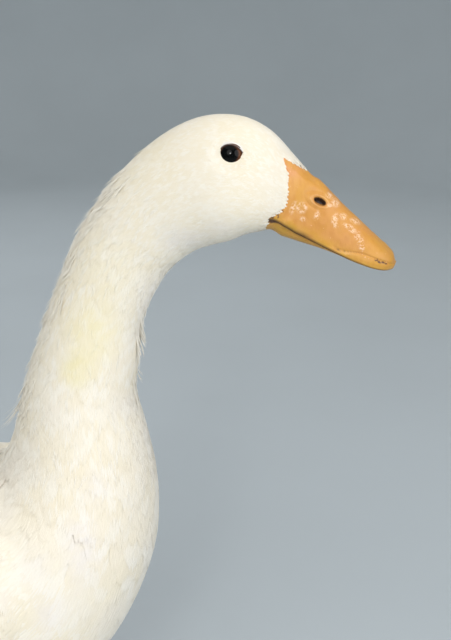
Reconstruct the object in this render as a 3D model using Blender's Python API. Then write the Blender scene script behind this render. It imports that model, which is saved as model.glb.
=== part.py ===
"""White farm duck of the Pekin type, life size, standing with its neck raised and its bill lowered.

The body is one loft along a bent spine, from the root of the tail through trunk and neck to the root of
the bill. It is parted into trunk, neck and head by thin gaps. The wings lie on the trunk, and the legs
stand under it. Frame: +X towards the bill, +Y to the duck's left, +Z up, with the origin on the floor under
the middle of the bird's length. Sizes below are in millimetres, and MM turns them into Blender's metres.
"""

import math

import bmesh
import bpy
from mathutils import Matrix, Vector

MM = 0.001
MIDDLE_X = -7.2  # where the origin of the frame lies along the sizes below: half way from tail to bill
GAP = 0.35  # clearance between neighbouring pieces
RING_POINTS = 28  # points round one section of the body
RINGS_PER_STATION = 3  # rings made between two stations of the body

# The body's sections, from the tail's root to the bill's root. Each has its upper point and its lower point
# in the side view as (x, z), half its width, how much its upper half narrows, and how square it is, where 2
# is an ellipse.
BODY_STATIONS = {
    "tail_root": ((-182, 140), (-170, 97), 37, 0.00, 2.0),
    "rump": ((-147, 170), (-132, 91), 56, 0.02, 2.1),
    "loin": ((-102, 207), (-75, 86), 70, 0.02, 2.2),
    "mid_back": ((-52, 236), (-15, 91), 78, 0.02, 2.2),
    "chest": ((-5, 254), (45, 112), 77, 0.02, 2.15),
    "shoulder": ((24, 258), (93, 154), 70, 0.04, 2.1),
    "breast": ((37, 266), (118, 203), 59, 0.06, 2.0),
    "neck_root": ((43, 277), (122, 246), 46, 0.06, 2.0),
    "neck_base": ((47.5, 291), (117, 279), 36, 0.04, 2.0),
    "neck_low": ((53, 310), (112, 302), 29.5, 0.02, 2.0),
    "neck_mid": ((60, 331), (114, 323), 25.5, 0.00, 2.0),
    "neck_high": ((72, 362), (117, 344), 22.5, 0.00, 2.0),
    "nape_low": ((85, 391), (129, 368), 22.0, 0.02, 2.0),
    "nape": ((103, 416.5), (143, 380.5), 22.5, 0.06, 2.0),
    "occiput": ((125, 437), (154, 385), 24.0, 0.14, 2.0),
    "hind_crown": ((146, 448), (163, 387.5), 25.0, 0.20, 2.05),
    "crown": ((166, 449.5), (171, 391), 23.8, 0.20, 2.15),
    "forehead": ((182, 443), (177.5, 392.5), 19.8, 0.22, 2.2),
    "brow": ((195, 430), (184, 394), 15.0, 0.20, 2.3),
    "bill_root": ((204.5, 419.5), (193, 395), 11.0, 0.18, 2.3),
}
STATION_NAMES = list(BODY_STATIONS)

# The head turns a little to the duck's right about an upright axis in the upper neck.
HEAD_TURN_DEG = 6.0
HEAD_TURN_X = 116.0
TURN_STARTS, TURN_ENDS = "neck_mid", "occiput"

# The bill's own axes start at the corner of the mouth: forward along the mouth, and up at a right angle.
MOUTH_CORNER = (185.4, 400.9)
BILL_PITCH_DEG = 21.5
BILL_LENGTH = 65.0
# Heights and half widths along the bill, each against the distance in front of the corner of the mouth.
CULMEN = [(-8, 27.0), (7, 26.2), (14, 24.4), (20.5, 21.6), (30, 17.5), (40, 13.8), (50, 10.0), (57, 7.5)]
CULMEN += [(62, 5.2), (BILL_LENGTH, 1.6)]
LIP = [(-6, 0.0), (2, -0.7), (12, -2.2), (28, -3.5), (42, -4.2), (52, -3.8), (60, -2.8), (BILL_LENGTH, -1.5)]
KEEL = [(-8, -8.9), (0, -8.8), (16, -7.6), (29, -6.3), (42, -5.8), (55, -4.8), (BILL_LENGTH, -2.6)]
BILL_WIDTH = [(-8, 14.2), (4, 13.6), (18, 12.8), (32, 13.0), (44, 14.0), (52, 14.6)]
BROAD_AT = 52.0
LIP_OVERHANG = 2.4  # how much wider than the lower bill the upper bill is, on each side
# How far forward the feathers reach on the side of the bill, against the height above the mouth.
FEATHER_LINE = [(-14, -1.0), (-8, -0.6), (-4, -1.4), (0, -2.0), (3.6, 1.9), (8, 3.9), (12, 3.3), (18, 1.0)]
FEATHER_LINE += [(23, -1.2), (27.4, -5.0)]
FEATHER_WEDGE = (7.0, 26.2)  # the point of feathers that lies along the top of the bill
EYE_POINT = (164.8, 433.5)
EYE_RADIUS = 6.8
EYE_OUT = 14.4  # from the middle plane to the eyeball's centre

# The folded wing lies on the trunk from the section WING_FRONT back to WING_TIP, between two lines that are
# given as turns round the trunk.
WING_THICKNESS = 9.0
WING_EDGE = 1.2
WING_SUNK = 2.0  # how far the uncut wing reaches into the trunk, whose shape then trims it
WING_FRONT, WING_TIP = 5.35, 0.12
WING_LOWER_DEG = [(0.12, 40), (0.6, 26), (1.4, 2), (2.4, -16), (3.4, -22), (4.4, -16), (5.0, 0), (5.35, 18)]
WING_UPPER_DEG = [(0.12, 52), (0.6, 58), (1.4, 64), (2.4, 66), (3.4, 66), (4.4, 60), (5.0, 54), (5.35, 36)]

# The tail, a flat upturned fan: distance behind its root, rise of its middle, and shares of the root's half
# thickness and half width.
TAIL_SECTIONS = [
    (0.0, 0.0, 1.0, 1.0),
    (12, 1.2, 0.82, 1.04),
    (26, 4.5, 0.60, 1.08),
    (40, 10.0, 0.41, 1.09),
    (54, 17.0, 0.25, 1.02),
    (66, 24.0, 0.14, 0.84),
    (74, 29.0, 0.09, 0.58),
    (78, 31.5, 0.06, 0.30),
]

# Each leg, on its own side of the middle plane: the hock, the joint of the toes and the parts between them.
HOCK = (-60.0, 45.0, 74.0)
FOOT_X, FOOT_Y = -46.0, 43.0
ANKLE_HEIGHT, ANKLE_RADIUS = 13.0, 6.0
THIGH = [  # x, distance from the middle plane, height, half length, half width
    (-44, 38, 140, 46, 27),
    (-48, 41, 118, 42, 26),
    (-52, 43, 101, 33, 22),
    (-56.5, 44.5, 86, 20, 16),
    (HOCK[0], HOCK[1], HOCK[2] + GAP, 10.0, 9.2),
]
SHANK = [  # share of the way from the hock to the ankle, half length, half width
    (0.00, 7.0, 6.4),
    (0.10, 7.6, 6.8),
    (0.22, 5.9, 5.2),
    (0.55, 5.0, 4.3),
    (0.85, 5.3, 4.8),
    (1.00, 6.0, 5.8),
]
FOOT_TURN_DEG = 6.0  # the toes point a little inwards
TOES = {"inner": (24.0, 54.0), "middle": (-2.0, 72.0), "outer": (-29.0, 65.0)}  # turn in degrees, length
TOE_HALF_WIDTH, TOE_ROOT_HEIGHT, TOE_TIP_HEIGHT = 3.6, 7.2, 3.6
TOE_JOINTS, KNUCKLE_SWELL = 3, 0.14
HEEL_RADIUS = 8.5
WEB_THICKNESS, WEB_EDGE_SHARE, WEB_HOLLOW = 1.7, 0.6, 0.16
CLAW = [(0.0, 2.3, 1.9, 1.7), (2.5, 2.6, 1.7, 1.7), (5.0, 2.1, 1.1, 1.2), (7.2, 1.0, 0.35, 0.4)]
HIND_TOE_START, HIND_TOE_TURN_DEG = 9.2, 18.0
HIND_TOE = [(0.0, 7.5, 3.0), (5.0, 6.2, 3.0), (10.0, 4.0, 2.5), (13.5, 2.6, 1.8)]  # way back, height, radius
HIND_CLAW = [(0.0, 2.5, 1.3), (2.2, 2.1, 1.1), (4.4, 1.2, 0.35)]

COLOURS = {
    "feather": ((0.87, 0.85, 0.78), 0.75),
    "bill": ((0.86, 0.47, 0.12), 0.42),
    "leg": ((0.85, 0.36, 0.07), 0.5),
    "claw": ((0.62, 0.47, 0.30), 0.4),
    "eye": ((0.02, 0.013, 0.01), 0.06),
}


def clear_scene():
    for obj in list(bpy.data.objects):
        bpy.data.objects.remove(obj)


def make_collection(name, helper=False):
    collection = bpy.data.collections.new(name)
    bpy.context.scene.collection.children.link(collection)
    collection.hide_render = helper
    return collection


def make_material(name):
    colour, roughness = COLOURS[name]
    material = bpy.data.materials.new(name)
    material.use_nodes = True
    shader = material.node_tree.nodes["Principled BSDF"]
    shader.inputs["Base Color"].default_value = (*colour, 1)
    shader.inputs["Roughness"].default_value = roughness
    return material


def metres(point):
    """A place given in millimetres along the bird, in the frame's metres."""
    return (Vector(point) - Vector((MIDDLE_X, 0, 0))) * MM


def smooth_between(values, t):
    """A Catmull-Rom curve through equally spaced values, read at t, where 0 is the first value."""
    last = len(values) - 1
    i = min(max(int(math.floor(t)), 0), last - 1)
    f = t - i
    a, b = values[max(i - 1, 0)], values[i]
    c, d = values[i + 1], values[min(i + 2, last)]
    return 0.5 * (
        2 * b + (c - a) * f + (2 * a - 5 * b + 4 * c - d) * f**2 + (3 * b - a - 3 * c + d) * f**3
    )


def read_table(table, x):
    """The same kind of curve through (place, value) pairs with any spacing."""
    places = [p for p, _ in table]
    values = [v for _, v in table]
    if x <= places[0]:
        return values[0]
    if x >= places[-1]:
        return values[-1]
    i = max(k for k, p in enumerate(places) if p <= x)
    return smooth_between(values, i + (x - places[i]) / (places[i + 1] - places[i]))


def station(name):
    return float(STATION_NAMES.index(name))


def head_turn(point, share=1.0):
    """A point of the straight bird, turned with the head by a share of the whole turn."""
    pivot = Vector((HEAD_TURN_X, 0, 0))
    return Matrix.Rotation(math.radians(-HEAD_TURN_DEG) * share, 3, "Z") @ (Vector(point) - pivot) + pivot


def turn_share(t):
    start, end = station(TURN_STARTS), station(TURN_ENDS)
    s = min(max((t - start) / (end - start), 0.0), 1.0)
    return s * s * (3 - 2 * s)


def section_at(t):
    """Upper point, lower point, half width, narrowing and squareness of the body's section at t."""
    columns = zip(*[(u[0], u[1], v[0], v[1], w, n, q) for u, v, w, n, q in BODY_STATIONS.values()])
    ux, uz, vx, vz, width, narrow, square = (smooth_between(c, t) for c in columns)
    return Vector((ux, 0, uz)), Vector((vx, 0, vz)), width, narrow, square


def body_point(t, angle, grow=0.0, ahead=0.0):
    """A point on the body at section t. Angle 0 is the left side, and a quarter turn is the back."""
    upper, lower, width, narrow, square = section_at(t)
    centre, half = (upper + lower) / 2, (upper - lower) / 2
    up = half.normalized()
    forward = Vector((0, 1, 0)).cross(up)
    c, s = math.cos(angle), math.sin(angle)
    across = math.copysign(abs(c) ** (2 / square), c) * (1 - narrow * s)
    along = math.copysign(abs(s) ** (2 / square), s)
    point = centre + up * along * (half.length + grow) + Vector((0, across * (width + grow), 0))
    return head_turn(point + forward * ahead, turn_share(t))


def body_ring(t, grow=0.0, ahead=0.0, count=RING_POINTS):
    return [body_point(t, 2 * math.pi * k / count, grow, ahead) for k in range(count)]


def mesh_object(name, bm, collection, material=None):
    bmesh.ops.recalc_face_normals(bm, faces=bm.faces)
    mesh = bpy.data.meshes.new(name)
    bm.to_mesh(mesh)
    bm.free()
    mesh.shade_smooth()
    mesh.set_sharp_from_angle(angle=math.radians(40))
    obj = bpy.data.objects.new(name, mesh)
    collection.objects.link(obj)
    if material:
        mesh.materials.append(material)
    return obj


def loft(name, rings, collection, material=None):
    """A closed solid through rings of equally many points, in millimetres, with its two ends capped."""
    bm = bmesh.new()
    rows = [[bm.verts.new(metres(p)) for p in ring] for ring in rings]
    count = len(rings[0])
    for near, far in zip(rows, rows[1:]):
        for k in range(count):
            bm.faces.new((near[k], near[(k + 1) % count], far[(k + 1) % count], far[k]))
    bm.faces.new(rows[0])
    bm.faces.new(rows[-1][::-1])
    return mesh_object(name, bm, collection, material)


def cut(obj, cutter, operation="DIFFERENCE"):
    modifier = obj.modifiers.new(f"{operation.lower()}_{cutter.name}", "BOOLEAN")
    modifier.operation = operation
    modifier.solver = "EXACT"
    modifier.object = cutter


def hide_helper(obj):
    obj.hide_render = True
    obj.display_type = "WIRE"
    return obj


# Body: trunk, neck and head


def body_stretch(name, start, end, parts, material, first=False, last=False):
    """One length of the body between two places on the spine, shortened by half a gap at each joint."""
    count = max(2, round((end - start) * RINGS_PER_STATION))
    rings = []
    for i in range(count + 1):
        t = start + (end - start) * i / count
        ahead = 0.0
        if i == 0 and not first:
            ahead = GAP / 2
        if i == count and not last:
            ahead = -GAP / 2
        rings.append(body_ring(t, ahead=ahead))
    return loft(name, rings, parts, material)


TRUNK_END = station("neck_root") - 0.35
NECK_PART = station("neck_mid") + 0.5
HEAD_START = station("nape") + 0.1


def build_body(parts, helpers, material):
    body_stretch("trunk", 0.0, TRUNK_END, parts, material)
    body_stretch("neck_lower", TRUNK_END, NECK_PART, parts, material)
    body_stretch("neck_upper", NECK_PART, HEAD_START, parts, material)
    head = body_stretch("head", HEAD_START, station("bill_root"), parts, material, last=True)
    cut(head, bill_region(helpers, "bill_room", 0.0))
    for side in ("left", "right"):
        cut(head, eyeball(f"eye_room_{side}", side, EYE_RADIUS + GAP, helpers))


# Bill


def bill_to_body(forward, side, up):
    """From the bill's own axes to the bird's frame, in millimetres."""
    pitch = math.radians(BILL_PITCH_DEG)
    x = MOUTH_CORNER[0] + forward * math.cos(pitch) + up * math.sin(pitch)
    z = MOUTH_CORNER[1] - forward * math.sin(pitch) + up * math.cos(pitch)
    return head_turn((x, side, z))


def bill_half_width(forward):
    """The bill's half width, closing in a round end."""
    if forward <= BROAD_AT:
        return read_table(BILL_WIDTH, forward)
    s = (forward - BROAD_AT) / (BILL_LENGTH + 0.4 - BROAD_AT)
    return BILL_WIDTH[-1][1] * math.sqrt(max(1 - s**2.3, 0.0))


def mouth_recess(forward):
    """How far the lower bill's rim sinks into the upper bill. The recess closes before the tip."""
    height = read_table(CULMEN, forward) - read_table(LIP, forward)
    return min(2.2, 0.4 * height) * min(max((BILL_LENGTH - 1.2 - forward) / 4.0, 0.0), 1.0)


def upper_bill_ring(forward):
    """A section, steep-sided at the root and flat at the tip, with a lip that covers the lower bill."""
    half = bill_half_width(forward)
    lip = read_table(LIP, forward)
    top = read_table(CULMEN, forward)
    flat = min(max(forward / 50.0, 0.0), 1.0)
    arch_steps = 16
    inner = max(half - 1.5, half * 0.5)
    roof = lip + mouth_recess(forward)
    points = []
    for k in range(arch_steps + 1):
        a = math.pi * k / arch_steps
        side = half * math.copysign(abs(math.cos(a)) ** (0.75 + 0.15 * flat), math.cos(a))
        points.append((side, lip + (top - lip) * math.sin(a) ** (0.75 - 0.1 * flat)))
    points += [(-inner, lip), (-inner + 0.4, roof), (inner - 0.4, roof), (inner, lip)]
    return [bill_to_body(forward, side, up) for side, up in points]


def lower_bill_ring(forward):
    """A shallow trough that fits inside the upper bill's lip."""
    half = max(bill_half_width(forward) - LIP_OVERHANG, bill_half_width(forward) * 0.32)
    lip = read_table(LIP, forward)
    rim = lip + mouth_recess(forward) - GAP
    keel = min(read_table(KEEL, forward), rim - 0.8)
    steps = 10
    points = []
    for k in range(steps + 1):
        a = math.pi * k / steps
        points.append((-half * math.cos(a), rim - (rim - keel) * math.sin(a) ** 0.6))
    return [bill_to_body(forward, side, up) for side, up in points]


def bill_region(helpers, name, back_off):
    """A slab-sided block round all that is bill, seen from the side. Its back edge is the feather line."""
    outline = [(forward + back_off, up) for up, forward in FEATHER_LINE]
    wedge_front, wedge_height = FEATHER_WEDGE
    outline[-1] = (outline[-1][0], outline[-1][1] - back_off)
    outline += [
        (wedge_front + back_off, wedge_height - back_off),
        (wedge_front + 1.5 + back_off, wedge_height + 6),
        (BILL_LENGTH + 20, wedge_height + 6),
        (BILL_LENGTH + 20, FEATHER_LINE[0][0]),
    ]
    side = 40
    rings = [[bill_to_body(f, y, u) for f, u in outline] for y in (side, -side)]
    return hide_helper(loft(name, rings, helpers))


def build_bill(parts, helpers, material):
    stops = [-7, -3, 1, 5, 9, 14, 20, 27, 34, 41, 47, BROAD_AT, 56, 59.5, 62.2, 64.0, BILL_LENGTH]
    region = bill_region(helpers, "bill_space", GAP)
    upper = loft("bill_upper", [upper_bill_ring(f) for f in stops], parts, material)
    cut(upper, region, "INTERSECT")
    lower_end = BILL_LENGTH - 2.4
    lower_stops = [f for f in stops if f < lower_end - 1] + [lower_end]
    lower = loft("bill_lower", [lower_bill_ring(f) for f in lower_stops], parts, material)
    cut(lower, region, "INTERSECT")


# Eyes


def eyeball(name, side, radius, collection, material=None):
    sign = 1 if side == "left" else -1
    centre = metres(head_turn((EYE_POINT[0], sign * EYE_OUT, EYE_POINT[1])))
    bm = bmesh.new()
    bmesh.ops.create_uvsphere(bm, u_segments=16, v_segments=10, radius=radius * MM)
    outward = Matrix.Rotation(math.radians(-90 * sign), 4, "X")
    bmesh.ops.transform(bm, matrix=Matrix.Translation(centre) @ outward, verts=bm.verts)
    obj = mesh_object(name, bm, collection, material)
    return obj if material else hide_helper(obj)


# Wings, folded against the trunk


def trunk_normal(t, angle):
    step = 0.02
    along = body_point(t + step, angle) - body_point(t - step, angle)
    around = body_point(t, angle + step) - body_point(t, angle - step)
    return around.cross(along).normalized()


def wing_ring(t, side):
    """A section across the folded wing: its inner face lies on the trunk, and its outer face bulges."""
    low, high = math.radians(read_table(WING_LOWER_DEG, t)), math.radians(read_table(WING_UPPER_DEG, t))
    steps = 9
    ends = min(t - WING_TIP + 0.05, (WING_FRONT - t) * 1.6 + 0.05)
    bulge = WING_THICKNESS * min(1.0, ends / 0.9) ** 0.6
    inner, outer = [], []
    for k in range(steps + 1):
        s = k / steps
        angle = low + (high - low) * s
        point, normal = body_point(t, angle), trunk_normal(t, angle)
        rise = WING_EDGE + bulge * (4 * s * (1 - s)) ** 0.6
        inner.append(point - normal * WING_SUNK)
        outer.append(point + normal * (GAP + rise))
    return [Vector((p.x, p.y * side, p.z)) for p in inner + outer[::-1]]


def build_wings(parts, trunk_room, material):
    count = 15
    stops = [WING_TIP + (WING_FRONT - WING_TIP) * i / count for i in range(count + 1)]
    for name, side in (("wing_left", 1), ("wing_right", -1)):
        wing = loft(name, [wing_ring(t, side) for t in stops], parts, material)
        cut(wing, trunk_room)


# Tail: a flat upturned fan that goes on from the trunk's end


def build_tail(parts, material):
    upper, lower, width, _, _ = section_at(0.0)
    centre, half = (upper + lower) / 2, (upper - lower) / 2
    up = half.normalized()
    back = up.cross(Vector((0, 1, 0)))
    rings = []
    for distance, rise, thick, wide in TAIL_SECTIONS:
        middle = centre + back * (distance + GAP) + up * rise
        ring = []
        for k in range(RING_POINTS):
            a = 2 * math.pi * k / RING_POINTS
            ring.append(
                middle + up * math.sin(a) * half.length * thick + Vector((0, math.cos(a) * width * wide, 0))
            )
        rings.append(ring)
    loft("tail", rings, parts, material)


# Legs and feet


def oval(centre, half_x, half_y, count):
    turns = [2 * math.pi * k / count for k in range(count)]
    return [Vector(centre) + Vector((half_x * math.cos(a), half_y * math.sin(a), 0)) for a in turns]


def build_trunk_room(helpers):
    """The trunk made larger all round by the gap, to trim what lies against it."""
    count = round(TRUNK_END * RINGS_PER_STATION)
    rings = [body_ring(TRUNK_END * i / count, grow=GAP) for i in range(count + 1)]
    return hide_helper(loft("trunk_room", rings, helpers))


def build_leg(side_name, side, parts, trunk_room, feather, leg):
    thigh_rings = [oval((x, y * side, z), half_x, half_y, 20) for x, y, z, half_x, half_y in THIGH]
    thigh = loft(f"thigh_{side_name}", thigh_rings, parts, feather)
    cut(thigh, trunk_room)
    hock = Vector((HOCK[0], HOCK[1] * side, HOCK[2]))
    ankle = Vector((FOOT_X, FOOT_Y * side, ANKLE_HEIGHT + GAP))
    shank_rings = [oval(hock.lerp(ankle, share), half_x, half_y, 16) for share, half_x, half_y in SHANK]
    loft(f"shank_{side_name}", shank_rings, parts, leg)


def web_reach(degrees):
    """How far the foot reaches in one direction: to a toe's end, the hollow edge of the web, or the heel."""
    reach = HEEL_RADIUS
    toes = sorted(TOES.values())
    for (start, start_length), (end, end_length) in zip(toes, toes[1:]):
        if start <= degrees <= end:
            share = (degrees - start) / (end - start)
            straight = start_length + (end_length - start_length) * share
            reach = straight * (1 - WEB_HOLLOW * math.sin(math.pi * share))
    for toe_turn, length in toes:
        off = math.radians(abs(degrees - toe_turn))
        if off < math.pi / 2:
            strip = TOE_HALF_WIDTH / max(math.sin(off), TOE_HALF_WIDTH / length)
            reach = max(reach, strip)
    return reach


def foot_height(degrees, radius):
    """Height of the foot's upper face: a thin web, a jointed ridge along each toe and a rise to the ankle."""
    height = WEB_THICKNESS
    for toe_turn, length in TOES.values():
        off = math.radians(degrees - toe_turn)
        if abs(off) > math.pi / 2:
            continue
        along, across = radius * math.cos(off) / length, radius * math.sin(abs(off))
        crest = TOE_ROOT_HEIGHT + (TOE_TIP_HEIGHT - TOE_ROOT_HEIGHT) * along
        crest *= 1 + KNUCKLE_SWELL * math.cos(2 * math.pi * TOE_JOINTS * along)
        ridge = (crest - WEB_THICKNESS) * math.exp(-((across / TOE_HALF_WIDTH) ** 2))
        height = max(height, WEB_THICKNESS + ridge)
    beyond_ankle = max(0.0, radius - ANKLE_RADIUS)
    rise = (ANKLE_HEIGHT - WEB_THICKNESS) * math.exp(-(beyond_ankle**1.3) / 14)
    return max(height, WEB_THICKNESS + rise)


def foot_directions():
    """Directions round the foot, with closer ones beside the middle of each toe."""
    directions = {float(a) for a in range(-170, 181, 20) if abs(a) > 40}
    for toe_turn, _ in TOES.values():
        directions |= {toe_turn + beside for beside in (-9, -5, -2.5, 0, 2.5, 5, 9)}
    toes = sorted(turn for turn, _ in TOES.values())
    directions |= {(start + end) / 2 for start, end in zip(toes, toes[1:])}
    directions |= {toes[0] - 17, toes[-1] + 17}
    return sorted(directions)


def build_foot(side_name, side, parts, leg, claw):
    """A webbed foot with a flat sole, and a claw before each toe. Turns count towards the middle plane."""
    joint = Vector((FOOT_X, FOOT_Y, 0))

    def placed(degrees, out, height, across=0.0):
        a = math.radians(-degrees - FOOT_TURN_DEG)
        ahead, sideways = Vector((math.cos(a), math.sin(a), 0)), Vector((-math.sin(a), math.cos(a), 0))
        point = joint + ahead * out + sideways * across + Vector((0, 0, height))
        return Vector((point.x, point.y * side, point.z))

    bm = bmesh.new()
    rows = []
    for degrees in foot_directions():
        reach = web_reach(degrees)
        column = []
        for share in (0.0, 0.18, 0.4, 0.66, 0.88, 1.0):
            radius = ANKLE_RADIUS + (reach - ANKLE_RADIUS) * share
            height = foot_height(degrees, radius) * (WEB_EDGE_SHARE if share == 1.0 else 1.0)
            column.append(bm.verts.new(metres(placed(degrees, radius, height))))
        column.append(bm.verts.new(metres(placed(degrees, reach, 0.0))))
        rows.append(column)
    for near, far in zip(rows, rows[1:] + rows[:1]):
        for k in range(len(near) - 1):
            bm.faces.new((near[k], near[k + 1], far[k + 1], far[k]))
    bm.faces.new([row[0] for row in rows])
    bm.faces.new([row[-1] for row in rows][::-1])
    mesh_object(f"foot_{side_name}", bm, parts, leg)

    turns = [2 * math.pi * k / 8 for k in range(8)]
    for toe, (toe_turn, length) in TOES.items():
        rings = []
        for out, middle, half_width, half_height in CLAW:
            reach = length + GAP + out
            oval_points = [(middle + half_height * math.sin(b), half_width * math.cos(b)) for b in turns]
            rings.append([placed(toe_turn, reach, height, across) for height, across in oval_points])
        loft(f"claw_{toe}_{side_name}", rings, parts, claw)


def build_hind_toe(side_name, side, parts, leg, claw):
    """The small raised toe behind the ankle, turned towards the middle plane."""
    a = math.radians(180 + HIND_TOE_TURN_DEG)
    ahead = Vector((math.cos(a), math.sin(a) * side, 0))
    across = Vector((-ahead.y, ahead.x, 0))
    joint = Vector((FOOT_X, FOOT_Y * side, 0))

    def ring(out, height, half):
        turns = [2 * math.pi * k / 10 for k in range(10)]
        centre = joint + ahead * out + Vector((0, 0, height))
        return [centre + across * half * math.cos(b) + Vector((0, 0, half * math.sin(b))) for b in turns]

    toe_rings = [ring(HIND_TOE_START + out, height, half) for out, height, half in HIND_TOE]
    loft(f"hind_toe_{side_name}", toe_rings, parts, leg)
    claw_start = HIND_TOE_START + HIND_TOE[-1][0] + GAP
    claw_rings = [ring(claw_start + out, height, half) for out, height, half in HIND_CLAW]
    loft(f"claw_hind_{side_name}", claw_rings, parts, claw)


def main():
    clear_scene()
    parts = make_collection("duck")
    helpers = make_collection("helpers", helper=True)
    materials = {name: make_material(name) for name in COLOURS}
    build_body(parts, helpers, materials["feather"])
    build_bill(parts, helpers, materials["bill"])
    build_tail(parts, materials["feather"])
    trunk_room = build_trunk_room(helpers)
    build_wings(parts, trunk_room, materials["feather"])
    for side_name, side in (("left", 1), ("right", -1)):
        eyeball(f"eye_{side_name}", side_name, EYE_RADIUS, parts, materials["eye"])
        build_leg(side_name, side, parts, trunk_room, materials["feather"], materials["leg"])
        build_foot(side_name, side, parts, materials["leg"], materials["claw"])
        build_hind_toe(side_name, side, parts, materials["leg"], materials["claw"])


if __name__ == "__main__":
    main()
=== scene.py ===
"""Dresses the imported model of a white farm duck: skin, plumage, bill, eyes and feet, with a plain stage.

The body is one surface along a bent spine, from the root of the tail to the root of the bill, and every
feather is laid on that surface or on the wing, tail and thigh that go with it. Sizes in the tables are in
millimetres along the bird, and the frame is in metres.
"""

import math

import bmesh
import bpy
import numpy as np
from mathutils import Matrix, Vector
from mathutils.bvhtree import BVHTree
from mathutils.kdtree import KDTree


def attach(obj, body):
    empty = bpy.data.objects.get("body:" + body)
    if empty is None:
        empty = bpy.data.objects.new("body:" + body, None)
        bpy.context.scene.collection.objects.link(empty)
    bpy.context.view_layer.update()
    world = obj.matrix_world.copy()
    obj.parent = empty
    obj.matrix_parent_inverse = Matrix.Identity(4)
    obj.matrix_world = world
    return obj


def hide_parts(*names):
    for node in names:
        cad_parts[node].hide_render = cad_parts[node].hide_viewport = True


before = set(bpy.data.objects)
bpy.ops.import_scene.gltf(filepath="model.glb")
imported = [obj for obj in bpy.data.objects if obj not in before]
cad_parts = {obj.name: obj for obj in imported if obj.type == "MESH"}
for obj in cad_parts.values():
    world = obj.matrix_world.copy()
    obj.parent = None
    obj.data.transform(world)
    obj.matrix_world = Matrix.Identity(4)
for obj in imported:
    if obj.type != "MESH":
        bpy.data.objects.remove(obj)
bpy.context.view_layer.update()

bl_info = {
    "name": "White Farm Duck",
    "version": (1, 0, 0),
    "blender": (4, 5, 0),
    "location": "3D View > Sidebar > Duck",
    "description": "Skin, plumage, bill, eyes and feet round the packed solids of a white farm duck",
    "category": "Object",
}

MM = 0.001
FAR_AWAY = 99.0
MIDDLE_X = -7.2  # where the frame's origin lies along the tables below
SEED = 20
SIDES = {"left": 1, "right": -1}

# The body's sections from the tail's root to the bill's root: upper point and lower point in the side view
# as (x, z), half width, narrowing of the upper half, and squareness, where 2 is an ellipse.
BODY_STATIONS = {
    "tail_root": ((-182, 140), (-170, 97), 37, 0.00, 2.0),
    "rump": ((-147, 170), (-132, 91), 56, 0.02, 2.1),
    "loin": ((-102, 207), (-75, 86), 70, 0.02, 2.2),
    "mid_back": ((-52, 236), (-15, 91), 78, 0.02, 2.2),
    "chest": ((-5, 254), (45, 112), 77, 0.02, 2.15),
    "shoulder": ((24, 258), (93, 154), 70, 0.04, 2.1),
    "breast": ((37, 266), (118, 203), 59, 0.06, 2.0),
    "neck_root": ((43, 277), (122, 246), 46, 0.06, 2.0),
    "neck_base": ((47.5, 291), (117, 279), 36, 0.04, 2.0),
    "neck_low": ((53, 310), (112, 302), 29.5, 0.02, 2.0),
    "neck_mid": ((60, 331), (114, 323), 25.5, 0.00, 2.0),
    "neck_high": ((72, 362), (117, 344), 22.5, 0.00, 2.0),
    "nape_low": ((85, 391), (129, 368), 22.0, 0.02, 2.0),
    "nape": ((103, 416.5), (143, 380.5), 22.5, 0.06, 2.0),
    "occiput": ((125, 437), (154, 385), 24.0, 0.14, 2.0),
    "hind_crown": ((146, 448), (163, 387.5), 25.0, 0.20, 2.05),
    "crown": ((166, 449.5), (171, 391), 23.8, 0.20, 2.15),
    "forehead": ((182, 443), (177.5, 392.5), 19.8, 0.22, 2.2),
    "brow": ((195, 430), (184, 394), 15.0, 0.20, 2.3),
    "bill_root": ((204.5, 419.5), (193, 395), 11.0, 0.18, 2.3),
}
STATION_NAMES = list(BODY_STATIONS)
HEAD_TURN_DEG, HEAD_TURN_X = 6.0, 116.0
TURN_STARTS, TURN_ENDS = "neck_mid", "occiput"
FACE_STARTS = STATION_NAMES.index("hind_crown") + 0.5

# The bill's own axes start at the corner of the mouth: forward along the mouth, and up at a right angle.
MOUTH_CORNER = (185.4, 400.9)
BILL_PITCH_DEG = 21.5
BILL_LENGTH = 65.0
CULMEN = [(-10, 34.5), (-3, 31.0), (2, 28.6), (7, 26.4), (14, 24.4), (20.5, 21.6), (30, 17.5), (40, 13.8),
          (50, 10.0), (57, 7.5), (62, 5.2), (BILL_LENGTH, 1.6)]
LIP = [(-6, 0.0), (2, -0.7), (12, -2.2), (28, -3.5), (42, -4.2), (52, -3.8), (60, -2.8), (BILL_LENGTH, -1.5)]
KEEL = [(-8, -8.9), (0, -8.8), (16, -7.6), (29, -6.3), (42, -5.8), (55, -4.8), (BILL_LENGTH, -2.6)]
BILL_WIDTH = [(-8, 14.2), (4, 13.6), (18, 12.8), (32, 13.0), (44, 14.0), (52, 14.6)]
BROAD_AT = 52.0
LIP_OVERHANG = 2.4
MOUTH_RECESS = 2.2
BILL_BLEND = 8  # how far in front of the feathers the bill's root bends to meet the head
BILL_ROOT_UNDER, BILL_ROOT_DIP = 0.10, 1.5  # how far it lies under the head's surface there, and then dips

# The line where the feathers end, as (up, forward), and the front and top of their wedge on the ridge.
FEATHER_LINE = [(-14, -1.0), (-8, -0.6), (-4, -1.4), (0, -2.0), (3.6, 1.9), (8, 3.9), (12, 3.3), (18, 1.0),
                (23, -1.2), (28.6, -6.4)]
FEATHER_WEDGE = (7.0, 26.2)

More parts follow.
